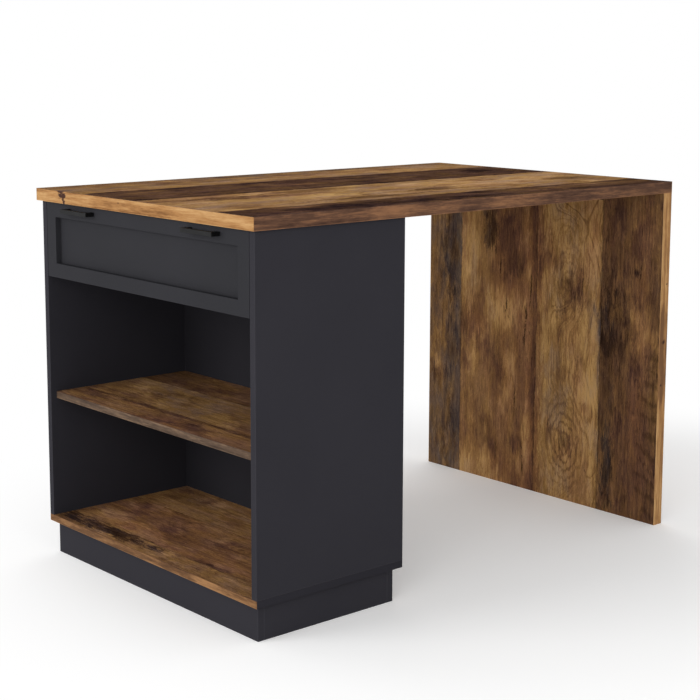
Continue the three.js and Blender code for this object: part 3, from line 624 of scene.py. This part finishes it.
worktop_decor = plank_decor(
    "worktop planks", "worktop", "X", "Y", WORKTOP_PLANKS, WORKTOP_KNOTS, WORKTOP_STAINS, WORKTOP_CRACKS,
    WORKTOP_SPLITS, fray=WORKTOP_FRAY
)
finish_board("worktop", worktop_decor)

# ---------------------------------------------------------------- worktop bands
# Strips 1 mm thick, glued round the board's four edges and rounded on both long corners. The short ends
# have a light print with a few knots at the left, and the long edges a brown one.

BAND_LIGHT = [(0.0, colour(118, 80, 46)), (0.45, colour(160, 116, 71)), (1.0, colour(186, 146, 98))]
BAND_BROWN = [(0.0, colour(56, 39, 32)), (0.5, colour(94, 67, 52)), (1.0, colour(140, 100, 71))]
BAND_KNOT = colour(62, 38, 30)
# A pale painted highlight along each band's rounded edge on the low side.
LOW_HIGHLIGHT_EDGE = 0.0014
LOW_HIGHLIGHT_FULL = 0.0004
GLUE_EDGE = 0.0009
GLUE_FULL = 0.0002
LOW_HIGHLIGHT_TONE = 0.45
GLUE_SHARE = 0.7
BAND_ROUGHNESS = 0.48
STRETCH_FADE = 0.02
BAND_RELIEF = 0.0003


def band_print(name, node, along, across, depth, tones, knots=(), stretches=(), patch_length=0.3):
    """A printed edge band, with fibres along it, soft patches and knots at (along, across, radius).

    stretches are (middle, half length, lighter) along it. The rounded edge on the low side carries a pale
    painted highlight, and a dark line of glue shows on the high side.
    """
    material, tree, shader, place = new_material(name)
    grain = {"Across": place[across], "Along": place[along], "Depth": place[depth]}
    fibres = place_group(tree, FIBRES, {**grain, "Seed": 0.4})
    patches = stretched_noise(tree, *grain.values(), (60, 1 / patch_length, 60), 0.2, 4.0, 0.6)
    specks = stretched_noise(tree, *grain.values(), (150, 30, 150), 0.6, 5.0, 0.7)
    tone = sloped(tree, patches, 0.3, 0.7, 0.25, 0.8)
    tone = total(tree, tone, (fibres["Streaks"], 0.3), (fibres["Fine"], 0.25))
    tone = total(tree, tone, sloped(tree, specks, 0.3, 0.7, -0.15, 0.15))
    for middle, half_length, lighter in stretches:
        away = calc(tree, "ABSOLUTE", minus(tree, grain["Along"], middle))
        away = total(tree, away, (fibres["Streaks"], 0.05))
        start, end = half_length + STRETCH_FADE, half_length - STRETCH_FADE
        tone = plus(tree, tone, sloped(tree, away, start, end, 0.0, lighter))
    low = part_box(node)[0]["XYZ".index(across)]
    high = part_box(node)[1]["XYZ".index(across)]
    # painted highlight: the low rounded edge is made paler
    painted_highlight = sloped(tree, grain["Across"], low + LOW_HIGHLIGHT_EDGE, low + LOW_HIGHLIGHT_FULL, 0.0, LOW_HIGHLIGHT_TONE)
    base = tone_ramp(tree, plus(tree, tone, painted_highlight), tones)
    for way, side, radius in knots:
        ragged = total(tree, (fibres["Streaks"], 0.6), sloped(tree, specks, 0.3, 0.7, -0.8, 0.8))
        mask = stain_mask(tree, grain, side, way, radius, radius, ragged)
        base = blend_colours(tree, mask, base, BAND_KNOT)
    glue = sloped(tree, grain["Across"], high - GLUE_EDGE, high - GLUE_FULL, 0.0, GLUE_SHARE)
    base = blend_colours(tree, glue, base, BAND_KNOT)
    put(tree, shader.inputs["Base Color"], base)
    put(tree, shader.inputs["Roughness"], total(tree, BAND_ROUGHNESS, (fibres["Streaks"], 0.12)))
    shader.inputs["Specular IOR Level"].default_value = 0.04
    bump = add(tree, "ShaderNodeBump", {"Height": fibres["Fine"], "Strength": 0.2, "Distance": BAND_RELIEF})
    put(tree, shader.inputs["Normal"], bump.outputs["Normal"])
    return material


def finish_piece(node, material):
    """Gives a node that already has rounded edges its material."""
    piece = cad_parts[node]
    piece.data.materials.clear()
    piece.data.materials.append(material)


FRONT_KNOTS = [(-0.301, 0.867, 0.012), (-0.290, 0.861, 0.008), (-0.294, 0.852, 0.006), (-0.290, 0.846, 0.006)]
FRONT_KNOTS += [(-0.066, 0.861, 0.0025)]
FRONT_STRETCHES = [(-0.03, 0.15, -0.12)]
EDGE_STRETCHES = [(-0.21, 0.13, 0.27), (0.08, 0.12, 0.06), (-0.50, 0.14, -0.05)]
front_band = band_print(
    "light band across", "worktop_band_front", "X", "Z", "Y", BAND_LIGHT, FRONT_KNOTS, FRONT_STRETCHES
)
brown_band = band_print(
    "brown band along", "worktop_band_right", "Y", "Z", "X", BAND_BROWN, (), EDGE_STRETCHES, 0.22
)
for end in ("front", "rear"):
    finish_piece(f"worktop_band_{end}", front_band)
for side in ("left", "right"):
    finish_piece(f"worktop_band_{side}", brown_band)

# ---------------------------------------------------------------- leg panel
# A 30 mm board as wide as the worktop, standing on the floor with its planks upright. Its two upright
# edges have the light band.

LEG_PLANKS = [
    (0.124, 0.48, -0.40, 0.35, 0.20),
    (0.282, 0.62, 0.52, 0.20, -0.22),
    (0.223, 0.78, 0.05, 0.90, 0.03),
    (0.191, 0.44, 0.35, 0.35, 0.18),
]
LEG_KNOTS = [(0.105, 0.158, 0.120, 0.75), (0.108, 0.590, 0.095, 0.5), (0.110, 0.700, 0.070, 0.35)]
LEG_STAINS = [
    (-0.320, 0.620, 0.032, 0.17, -0.20, -0.25),
    (-0.322, 0.400, 0.024, 0.17, -0.13, -0.1),
    (-0.320, 0.080, 0.030, 0.10, -0.11, -0.1),
    (-0.255, 0.650, 0.045, 0.15, 0.21, -0.35),
    (-0.175, 0.695, 0.027, 0.065, -0.34, -0.6),
    (-0.100, 0.660, 0.060, 0.080, -0.12, 0.2),
    (-0.035, 0.680, 0.014, 0.120, 0.18, 0.0),
    (-0.120, 0.490, 0.075, 0.060, 0.26, -0.35),
    (-0.235, 0.440, 0.050, 0.060, -0.14, 0.4),
    (-0.150, 0.280, 0.030, 0.160, -0.06, 0.0),
    (-0.220, 0.015, 0.095, 0.062, 0.34, -0.35),
    (-0.028, 0.130, 0.018, 0.085, 0.28, -0.2),
    (-0.165, 0.200, 0.016, 0.070, 0.14, 0.0),
    (-0.001, 0.420, 0.021, 0.900, -0.12, 0.6),
    (-0.030, 0.430, 0.011, 0.190, 0.16, 0.1),
    (0.200, 0.300, 0.014, 0.320, 0.12, 0.0),
    (0.115, 0.560, 0.040, 0.050, -0.16, 0.1),
    (0.190, 0.710, 0.028, 0.100, 0.10, 0.0),
    (0.180, 0.440, 0.030, 0.060, 0.14, 0.0),
    (0.035, 0.380, 0.025, 0.100, 0.10, 0.0),
    (0.170, 0.315, 0.055, 0.050, 0.12, 0.0),
    (0.176, 0.215, 0.036, 0.130, 0.11, 0.0),
    (0.240, 0.330, 0.028, 0.500, -0.10, -0.4),
    (0.345, 0.400, 0.035, 0.450, 0.08, 0.4),
    (0.270, 0.500, 0.050, 0.090, -0.20, -0.3),
    (0.335, 0.637, 0.011, 0.012, -0.45, 0.0),
    (0.250, 0.100, 0.020, 0.130, -0.18, -0.8),
]
LEG_CRACKS = [
    (-0.112, 0.450, 0.530, 0.002, 0.0020),
    (-0.040, 0.365, 0.540, 0.007, 0.0026),
    (-0.022, 0.480, 0.620, 0.004, 0.0018),
    (-0.135, 0.560, 0.640, 0.0, 0.0014),
    (-0.045, 0.020, 0.160, -0.004, 0.0018),
    (-0.075, 0.180, 0.290, 0.003, 0.0014),
    (0.345, 0.600, 0.670, 0.003, 0.0012),
]
LEG_SPLITS = [
    (-0.110, 0.490, 0.060, 0.060, 0.7),
    (-0.040, 0.420, 0.035, 0.120, 0.8),
    (-0.060, 0.200, 0.050, 0.050, 0.7),
    (-0.130, 0.080, 0.060, 0.060, 0.5),
    (0.120, 0.560, 0.060, 0.070, 0.6),
    (0.130, 0.400, 0.050, 0.050, 0.5),
    (0.280, 0.500, 0.070, 0.140, 0.5),
    (0.340, 0.640, 0.040, 0.070, 0.5),
]
LEG_SAW_MARKS = (0.390, 0.045, 0.21, 0.25, 0.32)
LEG_DUST = 0.5
leg_decor = plank_decor(
    "leg planks", "leg_panel", "X", "Z", LEG_PLANKS, LEG_KNOTS, LEG_STAINS, LEG_CRACKS, LEG_SPLITS,
    LEG_SAW_MARKS, dust=LEG_DUST
)
finish_board("leg_panel", leg_decor)
LEG_BAND_KNOTS = [(0.47, 0.642, 0.005), (0.36, 0.636, 0.004), (0.615, 0.647, 0.003)]
LEG_BAND_STRETCHES = [(0.43, 0.12, -0.45)]
BAND_UPRIGHT = [(0.0, colour(118, 84, 56)), (0.5, colour(170, 126, 80)), (1.0, colour(204, 162, 110))]
upright_band = band_print(
    "light band upright", "leg_band_right", "Z", "Y", "X", BAND_UPRIGHT, LEG_BAND_KNOTS, LEG_BAND_STRETCHES
)
for side in ("left", "right"):
    finish_piece(f"leg_band_{side}", upright_band)

# ---------------------------------------------------------------- cabinet boards
# 16 mm chipboard with an anthracite melamine face, cut into the sides, back, stretchers and plinth. The
# face is pressed with a fine grain, and each edge carries a thin band of the same colour. A lighter rim
# along every edge is partly that band and partly a painted highlight.

ANTHRACITE = colour(46, 45, 50)
# The lighter colour of the edge bands, which also serves as a painted highlight along every edge.
ANTHRACITE_BAND_AND_HIGHLIGHT = colour(60, 59, 64)
# Painted shade: the back panel is made darker than the other boards, so that the inside of the cabinet looks
# shaded.
BACK_SHADED_ANTHRACITE = colour(39, 38, 42)  # the back panel's face is a little darker
BAND_AND_HIGHLIGHT_WIDTH = 0.0014
FACE_CLOUDING = 0.12
FACE_SPECKLE = 0.10
FACE_ROUGHNESS = 0.56
FACE_RELIEF = 0.0002


def pressed_face_group():
    """The fine grain of a pressed melamine face, the slow clouding of its colour, and faint scuffs."""
    labels = ["X", "Y", "Z"]
    tree, given, result = open_group("pressed face", labels, ["Grain", "Cloud", "Scuff"])
    point = add(tree, "ShaderNodeCombineXYZ", {axis: given[axis] for axis in "XYZ"}).outputs[0]
    grain = add(tree, "ShaderNodeTexNoise", {"Vector": point, "Scale": 900.0, "Detail": 2.0})
    cloud = add(tree, "ShaderNodeTexNoise", {"Vector": point, "Scale": 4.5, "Detail": 4.0, "Roughness": 0.55})
    scuff = add(tree, "ShaderNodeTexNoise", {"Vector": point, "Scale": 26.0, "Detail": 6.0, "Roughness": 0.7})
    put(tree, result["Grain"], sloped(tree, grain.outputs["Fac"], 0.3, 0.7))
    put(tree, result["Cloud"], sloped(tree, cloud.outputs["Fac"], 0.3, 0.7))
    put(tree, result["Scuff"], sloped(tree, scuff.outputs["Fac"], 0.6, 0.72))
    return tree


def smaller_of(tree, first, second):
    return calc(tree, "MINIMUM", first, second)


def board_edge_group():
    """How near a point on a box-shaped board is to one of its edges, from 0 to 1 within the given width."""
    labels = ["X", "Y", "Z"] + [f"{end} {axis}" for end in ("Low", "High") for axis in "XYZ"] + ["Width"]
    tree, given, result = open_group("board edge", labels, ["Near"])
    away = []
    for axis in "XYZ":
        to_low = calc(tree, "ABSOLUTE", minus(tree, given[axis], given[f"Low {axis}"]))
        to_high = calc(tree, "ABSOLUTE", minus(tree, given[f"High {axis}"], given[axis]))
        away.append(smaller_of(tree, to_low, to_high))
    x, y, z = away
    middle = larger_of(tree, smaller_of(tree, x, y), smaller_of(tree, larger_of(tree, x, y), z))
    narrow = times(tree, given["Width"], 0.5)
    put(tree, result["Near"], sloped(tree, middle, given["Width"], narrow))
    return tree


PRESSED_FACE = pressed_face_group()
BOARD_EDGE = board_edge_group()


def faced_board(name, node, base_shade, band_and_highlight_shade, band_and_highlight_amount=0.5):
    material, tree, shader, place = new_material(name)
    low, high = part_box(node)
    face = place_group(tree, PRESSED_FACE, place)
    corners = {f"Low {axis}": low[i] for i, axis in enumerate("XYZ")}
    corners.update({f"High {axis}": high[i] for i, axis in enumerate("XYZ")})
    near = place_group(tree, BOARD_EDGE, {**place, **corners, "Width": BAND_AND_HIGHLIGHT_WIDTH})["Near"]
    clouded = blend_colours(tree, times(tree, face["Cloud"], FACE_CLOUDING), base_shade, band_and_highlight_shade)
    speckled = blend_colours(tree, times(tree, face["Grain"], FACE_SPECKLE), clouded, band_and_highlight_shade)
    # edge band and painted highlight: a lighter rim along every edge
    base = blend_colours(tree, times(tree, near, band_and_highlight_amount), speckled, band_and_highlight_shade)
    put(tree, shader.inputs["Base Color"], base)
    rough = total(tree, FACE_ROUGHNESS, (face["Scuff"], -0.08), (near, -0.12), (face["Cloud"], 0.04))
    put(tree, shader.inputs["Roughness"], rough)
    shader.inputs["Specular IOR Level"].default_value = 0.03
    bump = add(tree, "ShaderNodeBump", {"Height": face["Grain"], "Strength": 0.25, "Distance": FACE_RELIEF})
    put(tree, shader.inputs["Normal"], bump.outputs["Normal"])
    return material


CABINET_BOARDS = ["side_panel_left", "side_panel_right", "back_panel", "stretcher_front", "stretcher_rear"]
CABINET_BOARDS += [f"plinth_{place}" for place in ("front", "rear", "left", "right")]
for node in CABINET_BOARDS:
    # the back panel gets the darker anthracite of painted shade
    shade = BACK_SHADED_ANTHRACITE if node == "back_panel" else ANTHRACITE
    finish_board(node, faced_board(f"anthracite {node}", node, shade, ANTHRACITE_BAND_AND_HIGHLIGHT))

# ---------------------------------------------------------------- bottom board and shelf
# 16 mm boards with the plank print running across the cabinet. The bottom board lies under the side
# panels, the shelf rests on four pins, and each has a printed band along its front edge.

BOTTOM_PLANKS = [
    (0.054, 0.62, 0.3, 0.3, 0.10),
    (0.180, 0.66, 0.5, 0.5, 0.05),
    (0.165, 0.66, 0.1, 0.3, 0.12),
]
BOTTOM_KNOTS = [(-0.46, 0.12, 0.05, 0.5)]
BOTTOM_STAINS = [
    (-0.598, -0.215, 0.022, 0.200, -0.48, -0.5),
    (-0.575, 0.250, 0.012, 0.120, -0.16, -0.2),
    (-0.625, -0.300, 0.016, 0.080, -0.10, -0.2),
    (-0.545, -0.200, 0.024, 0.140, 0.16, 0.3),
]
BOTTOM_ENDS = (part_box("bottom_board")[1][0], ANTHRACITE)
SHELF_PLANKS = [
    (0.078, 0.60, 0.5, 0.3, 0.10),
    (0.165, 0.68, 0.1, 0.5, 0.05),
    (0.125, 0.56, 0.3, 0.3, 0.12),
]
SHELF_KNOTS = [(-0.45, -0.2, 0.05, 0.4)]
SHELF_STAINS = [
    (-0.545, 0.000, 0.008, 0.400, -0.25, 0.3),
    (-0.590, 0.120, 0.020, 0.080, -0.12, 0.2),
    (-0.500, 0.300, 0.030, 0.100, 0.16, -0.2),
]
BAND_MIXED = [(0.0, colour(70, 48, 33)), (0.5, colour(108, 77, 51)), (1.0, colour(154, 114, 76))]
BAND_SHELF = [(0.0, colour(56, 44, 36)), (0.5, colour(88, 71, 58)), (1.0, colour(124, 101, 80))]
MIXED_STRETCHES = [(-0.30, 0.05, 0.20), (-0.38, 0.02, -0.15), (0.12, 0.06, -0.15), (0.22, 0.04, 0.25)]
PATCH_LENGTH = 0.12

bottom_decor = plank_decor(
    "bottom board planks", "bottom_board", "Y", "X", BOTTOM_PLANKS, BOTTOM_KNOTS, BOTTOM_STAINS,
    ends=BOTTOM_ENDS
)
shelf_decor = plank_decor("shelf planks", "shelf", "Y", "X", SHELF_PLANKS, SHELF_KNOTS, SHELF_STAINS)
finish_board("bottom_board", bottom_decor)
finish_board("shelf", shelf_decor)
bottom_band = band_print(
    "mixed band", "bottom_board_band", "X", "Z", "Y", BAND_MIXED, (), MIXED_STRETCHES, PATCH_LENGTH
)
shelf_band = band_print("grey-brown band", "shelf_band", "X", "Z", "Y", BAND_SHELF, (), (), PATCH_LENGTH)
finish_piece("bottom_board_band", bottom_band)
finish_piece("shelf_band", shelf_band)

# ---------------------------------------------------------------- drawer front
# A frame of 37 mm stiles and 33 mm rails with eased edges, and a thin panel let into its back, so that
# the field lies 13 mm deep. Both have the cabinet's anthracite face, made a little darker here as painted
# shade against the strong light on the front.

# Painted shade: darker than ANTHRACITE, to offset the stronger light that falls on the front.
FRONT_SHADED_ANTHRACITE = colour(43, 43, 46)
for node in ("drawer_front_frame", "drawer_front_panel"):
    finish_piece(node, faced_board(f"anthracite {node}", node, FRONT_SHADED_ANTHRACITE, ANTHRACITE_BAND_AND_HIGHLIGHT, 0.3))

# ---------------------------------------------------------------- handles
# Two bows of square steel bar in black powder coat. Each is held by two screws, which come from inside
# the drawer front.

HANDLE_BLACK = colour(9, 9, 10)
HANDLE_WORN = colour(26, 26, 27)
HANDLE_EASED = 0.0005
COAT_RELIEF = 0.00015


def powder_coat(name, shade, worn_shade):
    material, tree, shader, place = new_material(name)
    point = add(tree, "ShaderNodeCombineXYZ", place).outputs[0]
    pebble = add(tree, "ShaderNodeTexNoise", {"Vector": point, "Scale": 1400.0, "Detail": 2.0}).outputs["Fac"]
    rubbed = add(tree, "ShaderNodeTexNoise", {"Vector": point, "Scale": 60.0, "Detail": 4.0}).outputs["Fac"]
    base = blend_colours(tree, sloped(tree, rubbed, 0.55, 0.75, 0.0, 0.4), shade, worn_shade)
    put(tree, shader.inputs["Base Color"], base)
    put(tree, shader.inputs["Roughness"], sloped(tree, rubbed, 0.3, 0.7, 0.48, 0.36))
    shader.inputs["Specular IOR Level"].default_value = 0.14
    bump = add(tree, "ShaderNodeBump", {"Height": pebble, "Strength": 0.3, "Distance": COAT_RELIEF})
    put(tree, shader.inputs["Normal"], bump.outputs["Normal"])
    return material


handle_coat = powder_coat("black powder coat", HANDLE_BLACK, HANDLE_WORN)
for side in ("left", "right"):
    finish_board(f"handle_{side}", handle_coat, HANDLE_EASED)

# ---------------------------------------------------------------- drawer box
# 12 mm chipboard sides, front and back, wrapped in dark foil. They are glued together round a thin
# hardboard bottom, which lies in their grooves.

BOX_SHADE = colour(56, 56, 59)
# The lighter colour of the foil's edges, which also serves as a painted highlight along every edge.
BOX_BAND_AND_HIGHLIGHT = colour(74, 74, 77)
HARDBOARD_SHADE = colour(62, 58, 55)
HARDBOARD_EASED = 0.0002
for node in ("drawer_side_left", "drawer_side_right", "drawer_box_front", "drawer_box_back"):
    finish_board(node, faced_board(f"drawer foil {node}", node, BOX_SHADE, BOX_BAND_AND_HIGHLIGHT, 0.4))
hardboard_face = faced_board("hardboard bottom", "drawer_bottom", HARDBOARD_SHADE, BOX_BAND_AND_HIGHLIGHT, 0.2)
finish_board("drawer_bottom", hardboard_face, HARDBOARD_EASED)

# ---------------------------------------------------------------- runners, brackets and screws
# Folded steel: three-part runners with their ball cages, which are bright zinc like the shelf pins and
# every screw, and the two angles at the leg panel, which are lacquered brown. Pan head screws hold the
# runners' inner members to the drawer's sides.

ZINC = colour(166, 168, 173)
ZINC_DULL = colour(146, 148, 154)
ZINC_RELIEF = 0.0002
BRACKET_BROWN = colour(50, 38, 30)
BRACKET_WORN = colour(74, 58, 46)


def zinc_steel(name, along, rough):
    material, tree, shader, place = new_material(name)
    stretch = {axis: 4.0 if axis == along else 90.0 for axis in "XYZ"}
    parts = {axis: times(tree, place[axis], stretch[axis]) for axis in "XYZ"}
    point = add(tree, "ShaderNodeCombineXYZ", parts).outputs[0]
    streak = add(tree, "ShaderNodeTexNoise", {"Vector": point, "Scale": 8.0, "Detail": 3.0}).outputs["Fac"]
    whole = add(tree, "ShaderNodeCombineXYZ", place).outputs[0]
    bloom = add(tree, "ShaderNodeTexNoise", {"Vector": whole, "Scale": 45.0, "Detail": 4.0}).outputs["Fac"]
    base = blend_colours(tree, sloped(tree, bloom, 0.35, 0.7), ZINC, ZINC_DULL)
    put(tree, shader.inputs["Base Color"], base)
    shader.inputs["Metallic"].default_value = 0.9
    put(tree, shader.inputs["Roughness"], sloped(tree, streak, 0.3, 0.7, rough - 0.06, rough + 0.08))
    bump = add(tree, "ShaderNodeBump", {"Height": streak, "Strength": 0.08, "Distance": ZINC_RELIEF})
    put(tree, shader.inputs["Normal"], bump.outputs["Normal"])
    return material


runner_zinc = zinc_steel("bright zinc on runners", "Y", 0.3)
fitting_zinc = zinc_steel("satin zinc on fittings", "X", 0.38)
for side in ("left", "right"):
    for member in ("cabinet", "middle", "drawer"):
        finish_piece(f"runner_{member}_{side}", runner_zinc)
    for cage in ("outer", "inner"):
        finish_piece(f"ball_cage_{cage}_{side}", runner_zinc)
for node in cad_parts:
    if "screw" in node or "pin" in node:
        finish_piece(node, fitting_zinc)
bracket_coat = powder_coat("brown lacquer on brackets", BRACKET_BROWN, BRACKET_WORN)
for side in ("left", "right"):
    finish_piece(f"leg_bracket_{side}", bracket_coat)

SCREW_SIDES = 24
PAN_HEAD = [  # radius, height over the runner's sheet, and depth of the cross recess, in mm
    (0.6, 0.8, 0.0),
    (1.3, 1.8, 1.0),
    (2.1, 1.6, 0.5),
    (2.7, 1.3, 0.0),
    (3.3, 0.7, 0.0),
    (3.5, 0.0, 0.0),
    (2.0, 0.0, 0.0),
    (2.0, -8.5, 0.0),
    (0.6, -10.5, 0.0),
]
RUNNER_SHEET = 0.001
RUNNER_HOLES = [0.035, 0.163, 0.291]  # from the runner's front end


def add_runner_screw(name, place, outwards):
    """A pan head screw with a cross recess, through the drawer's runner member into the drawer side."""
    shape = bmesh.new()
    rings = []
    for radius, height, recess in PAN_HEAD:
        ring = []
        for step in range(SCREW_SIDES):
            angle = 2 * math.pi * step / SCREW_SIDES
            lowered = recess if step % (SCREW_SIDES // 4) == 0 else 0.0
            point = (outwards * (height - lowered), radius * math.cos(angle), radius * math.sin(angle))
            ring.append(shape.verts.new(Vector(point) / 1000))
        rings.append(ring)
    for ring, following in zip(rings, rings[1:]):
        for step in range(SCREW_SIDES):
            ahead = (step + 1) % SCREW_SIDES
            shape.faces.new((ring[step], ring[ahead], following[ahead], following[step]))
    shape.faces.new(rings[0])
    shape.faces.new(rings[-1])
    bmesh.ops.recalc_face_normals(shape, faces=shape.faces)
    mesh = bpy.data.meshes.new(name)
    shape.to_mesh(mesh)
    shape.free()
    mesh.materials.append(fitting_zinc)
    screw = bpy.data.objects.new(name, mesh)
    screw.location = place
    bpy.context.scene.collection.objects.link(screw)
    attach(screw, "drawer")


for side, outwards in (("left", -1), ("right", 1)):
    low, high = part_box(f"runner_drawer_{side}")
    box_side = high[0] if side == "left" else low[0]
    for number, from_front in enumerate(RUNNER_HOLES):
        place = (box_side + outwards * RUNNER_SHEET, low[1] + from_front, (low[2] + high[2]) / 2)
        add_runner_screw(f"runner_screw_{side}_{number}", place, outwards)

# ---------------------------------------------------------------- room
# A white floor that fades into a white backdrop, under a soft sky and four large lamps. Most of the light
# comes from the front. The camera stands 1.2 m high off the front right corner.

CAMERA_PLACE = (2.8108, -2.4941, 1.1952)
CAMERA_TURN = 48.855
CAMERA_TILT = 8.402
CAMERA_ROLL = 0.188
CAMERA_LENS = 81.2  # mm
CAMERA_SENSOR = 36.0  # mm across
CAMERA_SHIFT = -0.1
FLOOR_HALF = 14.0
FLOOR_GLOW = 0.12
FLOOR_WHITE = (1.0, 1.0, 1.0, 1.0)
FLOOR_BOUNCE = (0.8, 0.8, 0.8, 1.0)
SHADOW_MIDDLE = (0.25, 0.35)
SHADOW_KEPT = 0.9  # round that point; past SHADOW_GONE the floor is plain white
SHADOW_GONE = 1.6
SKY_LIGHT = 0.6
LIT_POINT = (0.0, 0.0, 0.4)
LAMPS = [  # name, place, side length and watts
    ("corner fill", (2.6, -3.2, 1.5), 2.2, 45.0),
    ("side fill", (3.4, -0.6, 1.4), 2.0, 18.0),
    ("front key", (-1.0, -3.6, 1.4), 1.8, 54.0),
    ("back key", (-1.6, 1.6, 2.8), 1.8, 14.0),
]


def show_as_background(tree):
    """1 for rays that should see the white studio: the camera's, reflected and refracted ones."""
    path = tree.nodes.new("ShaderNodeLightPath").outputs
    seen = larger_of(tree, path["Is Camera Ray"], path["Is Glossy Ray"])
    return larger_of(tree, seen, path["Is Transmission Ray"])


def add_floor():
    mesh = bpy.data.meshes.new("studio_floor")
    h = FLOOR_HALF
    mesh.from_pydata([(-h, -h, 0), (h, -h, 0), (h, h, 0), (-h, h, 0)], [], [(0, 1, 2, 3)])
    floor = bpy.data.objects.new("studio_floor", mesh)
    bpy.context.scene.collection.objects.link(floor)
    material, tree, shader, place = new_material("studio floor")
    tree.nodes.remove(shader)
    bounce = add(tree, "ShaderNodeBsdfDiffuse", {"Color": FLOOR_BOUNCE}).outputs[0]
    shaded = add(tree, "ShaderNodeBsdfDiffuse", {"Color": FLOOR_WHITE}).outputs[0]
    glow = add(tree, "ShaderNodeEmission", {"Strength": FLOOR_GLOW}).outputs[0]
    lit = tree.nodes.new("ShaderNodeAddShader")
    tree.links.new(shaded, lit.inputs[0])
    tree.links.new(glow, lit.inputs[1])
    white = add(tree, "ShaderNodeEmission", {"Strength": 1.0}).outputs[0]
    middle = add(tree, "ShaderNodeCombineXYZ", dict(zip("XY", SHADOW_MIDDLE))).outputs[0]
    floor_place = add(tree, "ShaderNodeCombineXYZ", place).outputs[0]
    inputs = {0: floor_place, 1: middle}
    away = add(tree, "ShaderNodeVectorMath", inputs, operation="DISTANCE").outputs["Value"]
    far = sloped(tree, away, SHADOW_KEPT, SHADOW_GONE)
    faded = tree.nodes.new("ShaderNodeMixShader")
    put(tree, faded.inputs[0], far)
    tree.links.new(lit.outputs[0], faded.inputs[1])
    tree.links.new(white, faded.inputs[2])
    mixed = tree.nodes.new("ShaderNodeMixShader")
    put(tree, mixed.inputs[0], show_as_background(tree))
    tree.links.new(bounce, mixed.inputs[1])
    tree.links.new(faded.outputs[0], mixed.inputs[2])
    tree.links.new(mixed.outputs[0], tree.nodes["Material Output"].inputs["Surface"])
    mesh.materials.append(material)


def add_sky():
    world = bpy.data.worlds.new("studio")
    world.use_nodes = True
    tree = world.node_tree
    sky = tree.nodes["Background"]
    sky.inputs["Color"].default_value = (1, 1, 1, 1)
    seen = show_as_background(tree)
    strength = plus(tree, SKY_LIGHT, times(tree, seen, 1.0 - SKY_LIGHT))
    put(tree, sky.inputs["Strength"], strength)
    bpy.context.scene.world = world


def add_lamp(name, place, side_length, power):
    light = bpy.data.lights.new(name, "AREA")
    light.shape = "SQUARE"
    light.size = side_length
    light.energy = power
    lamp = bpy.data.objects.new(name, light)
    lamp.location = place
    lamp.rotation_euler = (Vector(LIT_POINT) - Vector(place)).to_track_quat("-Z", "Y").to_euler()
    bpy.context.scene.collection.objects.link(lamp)


def add_camera():
    data = bpy.data.cameras.new("camera")
    data.lens = CAMERA_LENS
    data.sensor_width = CAMERA_SENSOR
    data.shift_y = CAMERA_SHIFT
    camera = bpy.data.objects.new("camera", data)
    turn = Euler((math.radians(90 - CAMERA_TILT), 0, math.radians(CAMERA_TURN))).to_matrix()
    roll = Matrix.Rotation(math.radians(CAMERA_ROLL), 3, "Z")
    camera.matrix_world = Matrix.Translation(CAMERA_PLACE) @ (turn @ roll).to_4x4()
    bpy.context.scene.collection.objects.link(camera)
    bpy.context.scene.camera = camera


add_floor()
add_sky()
for lamp in LAMPS:
    add_lamp(*lamp)
add_camera()
bpy.context.scene.view_settings.view_transform = "Standard"
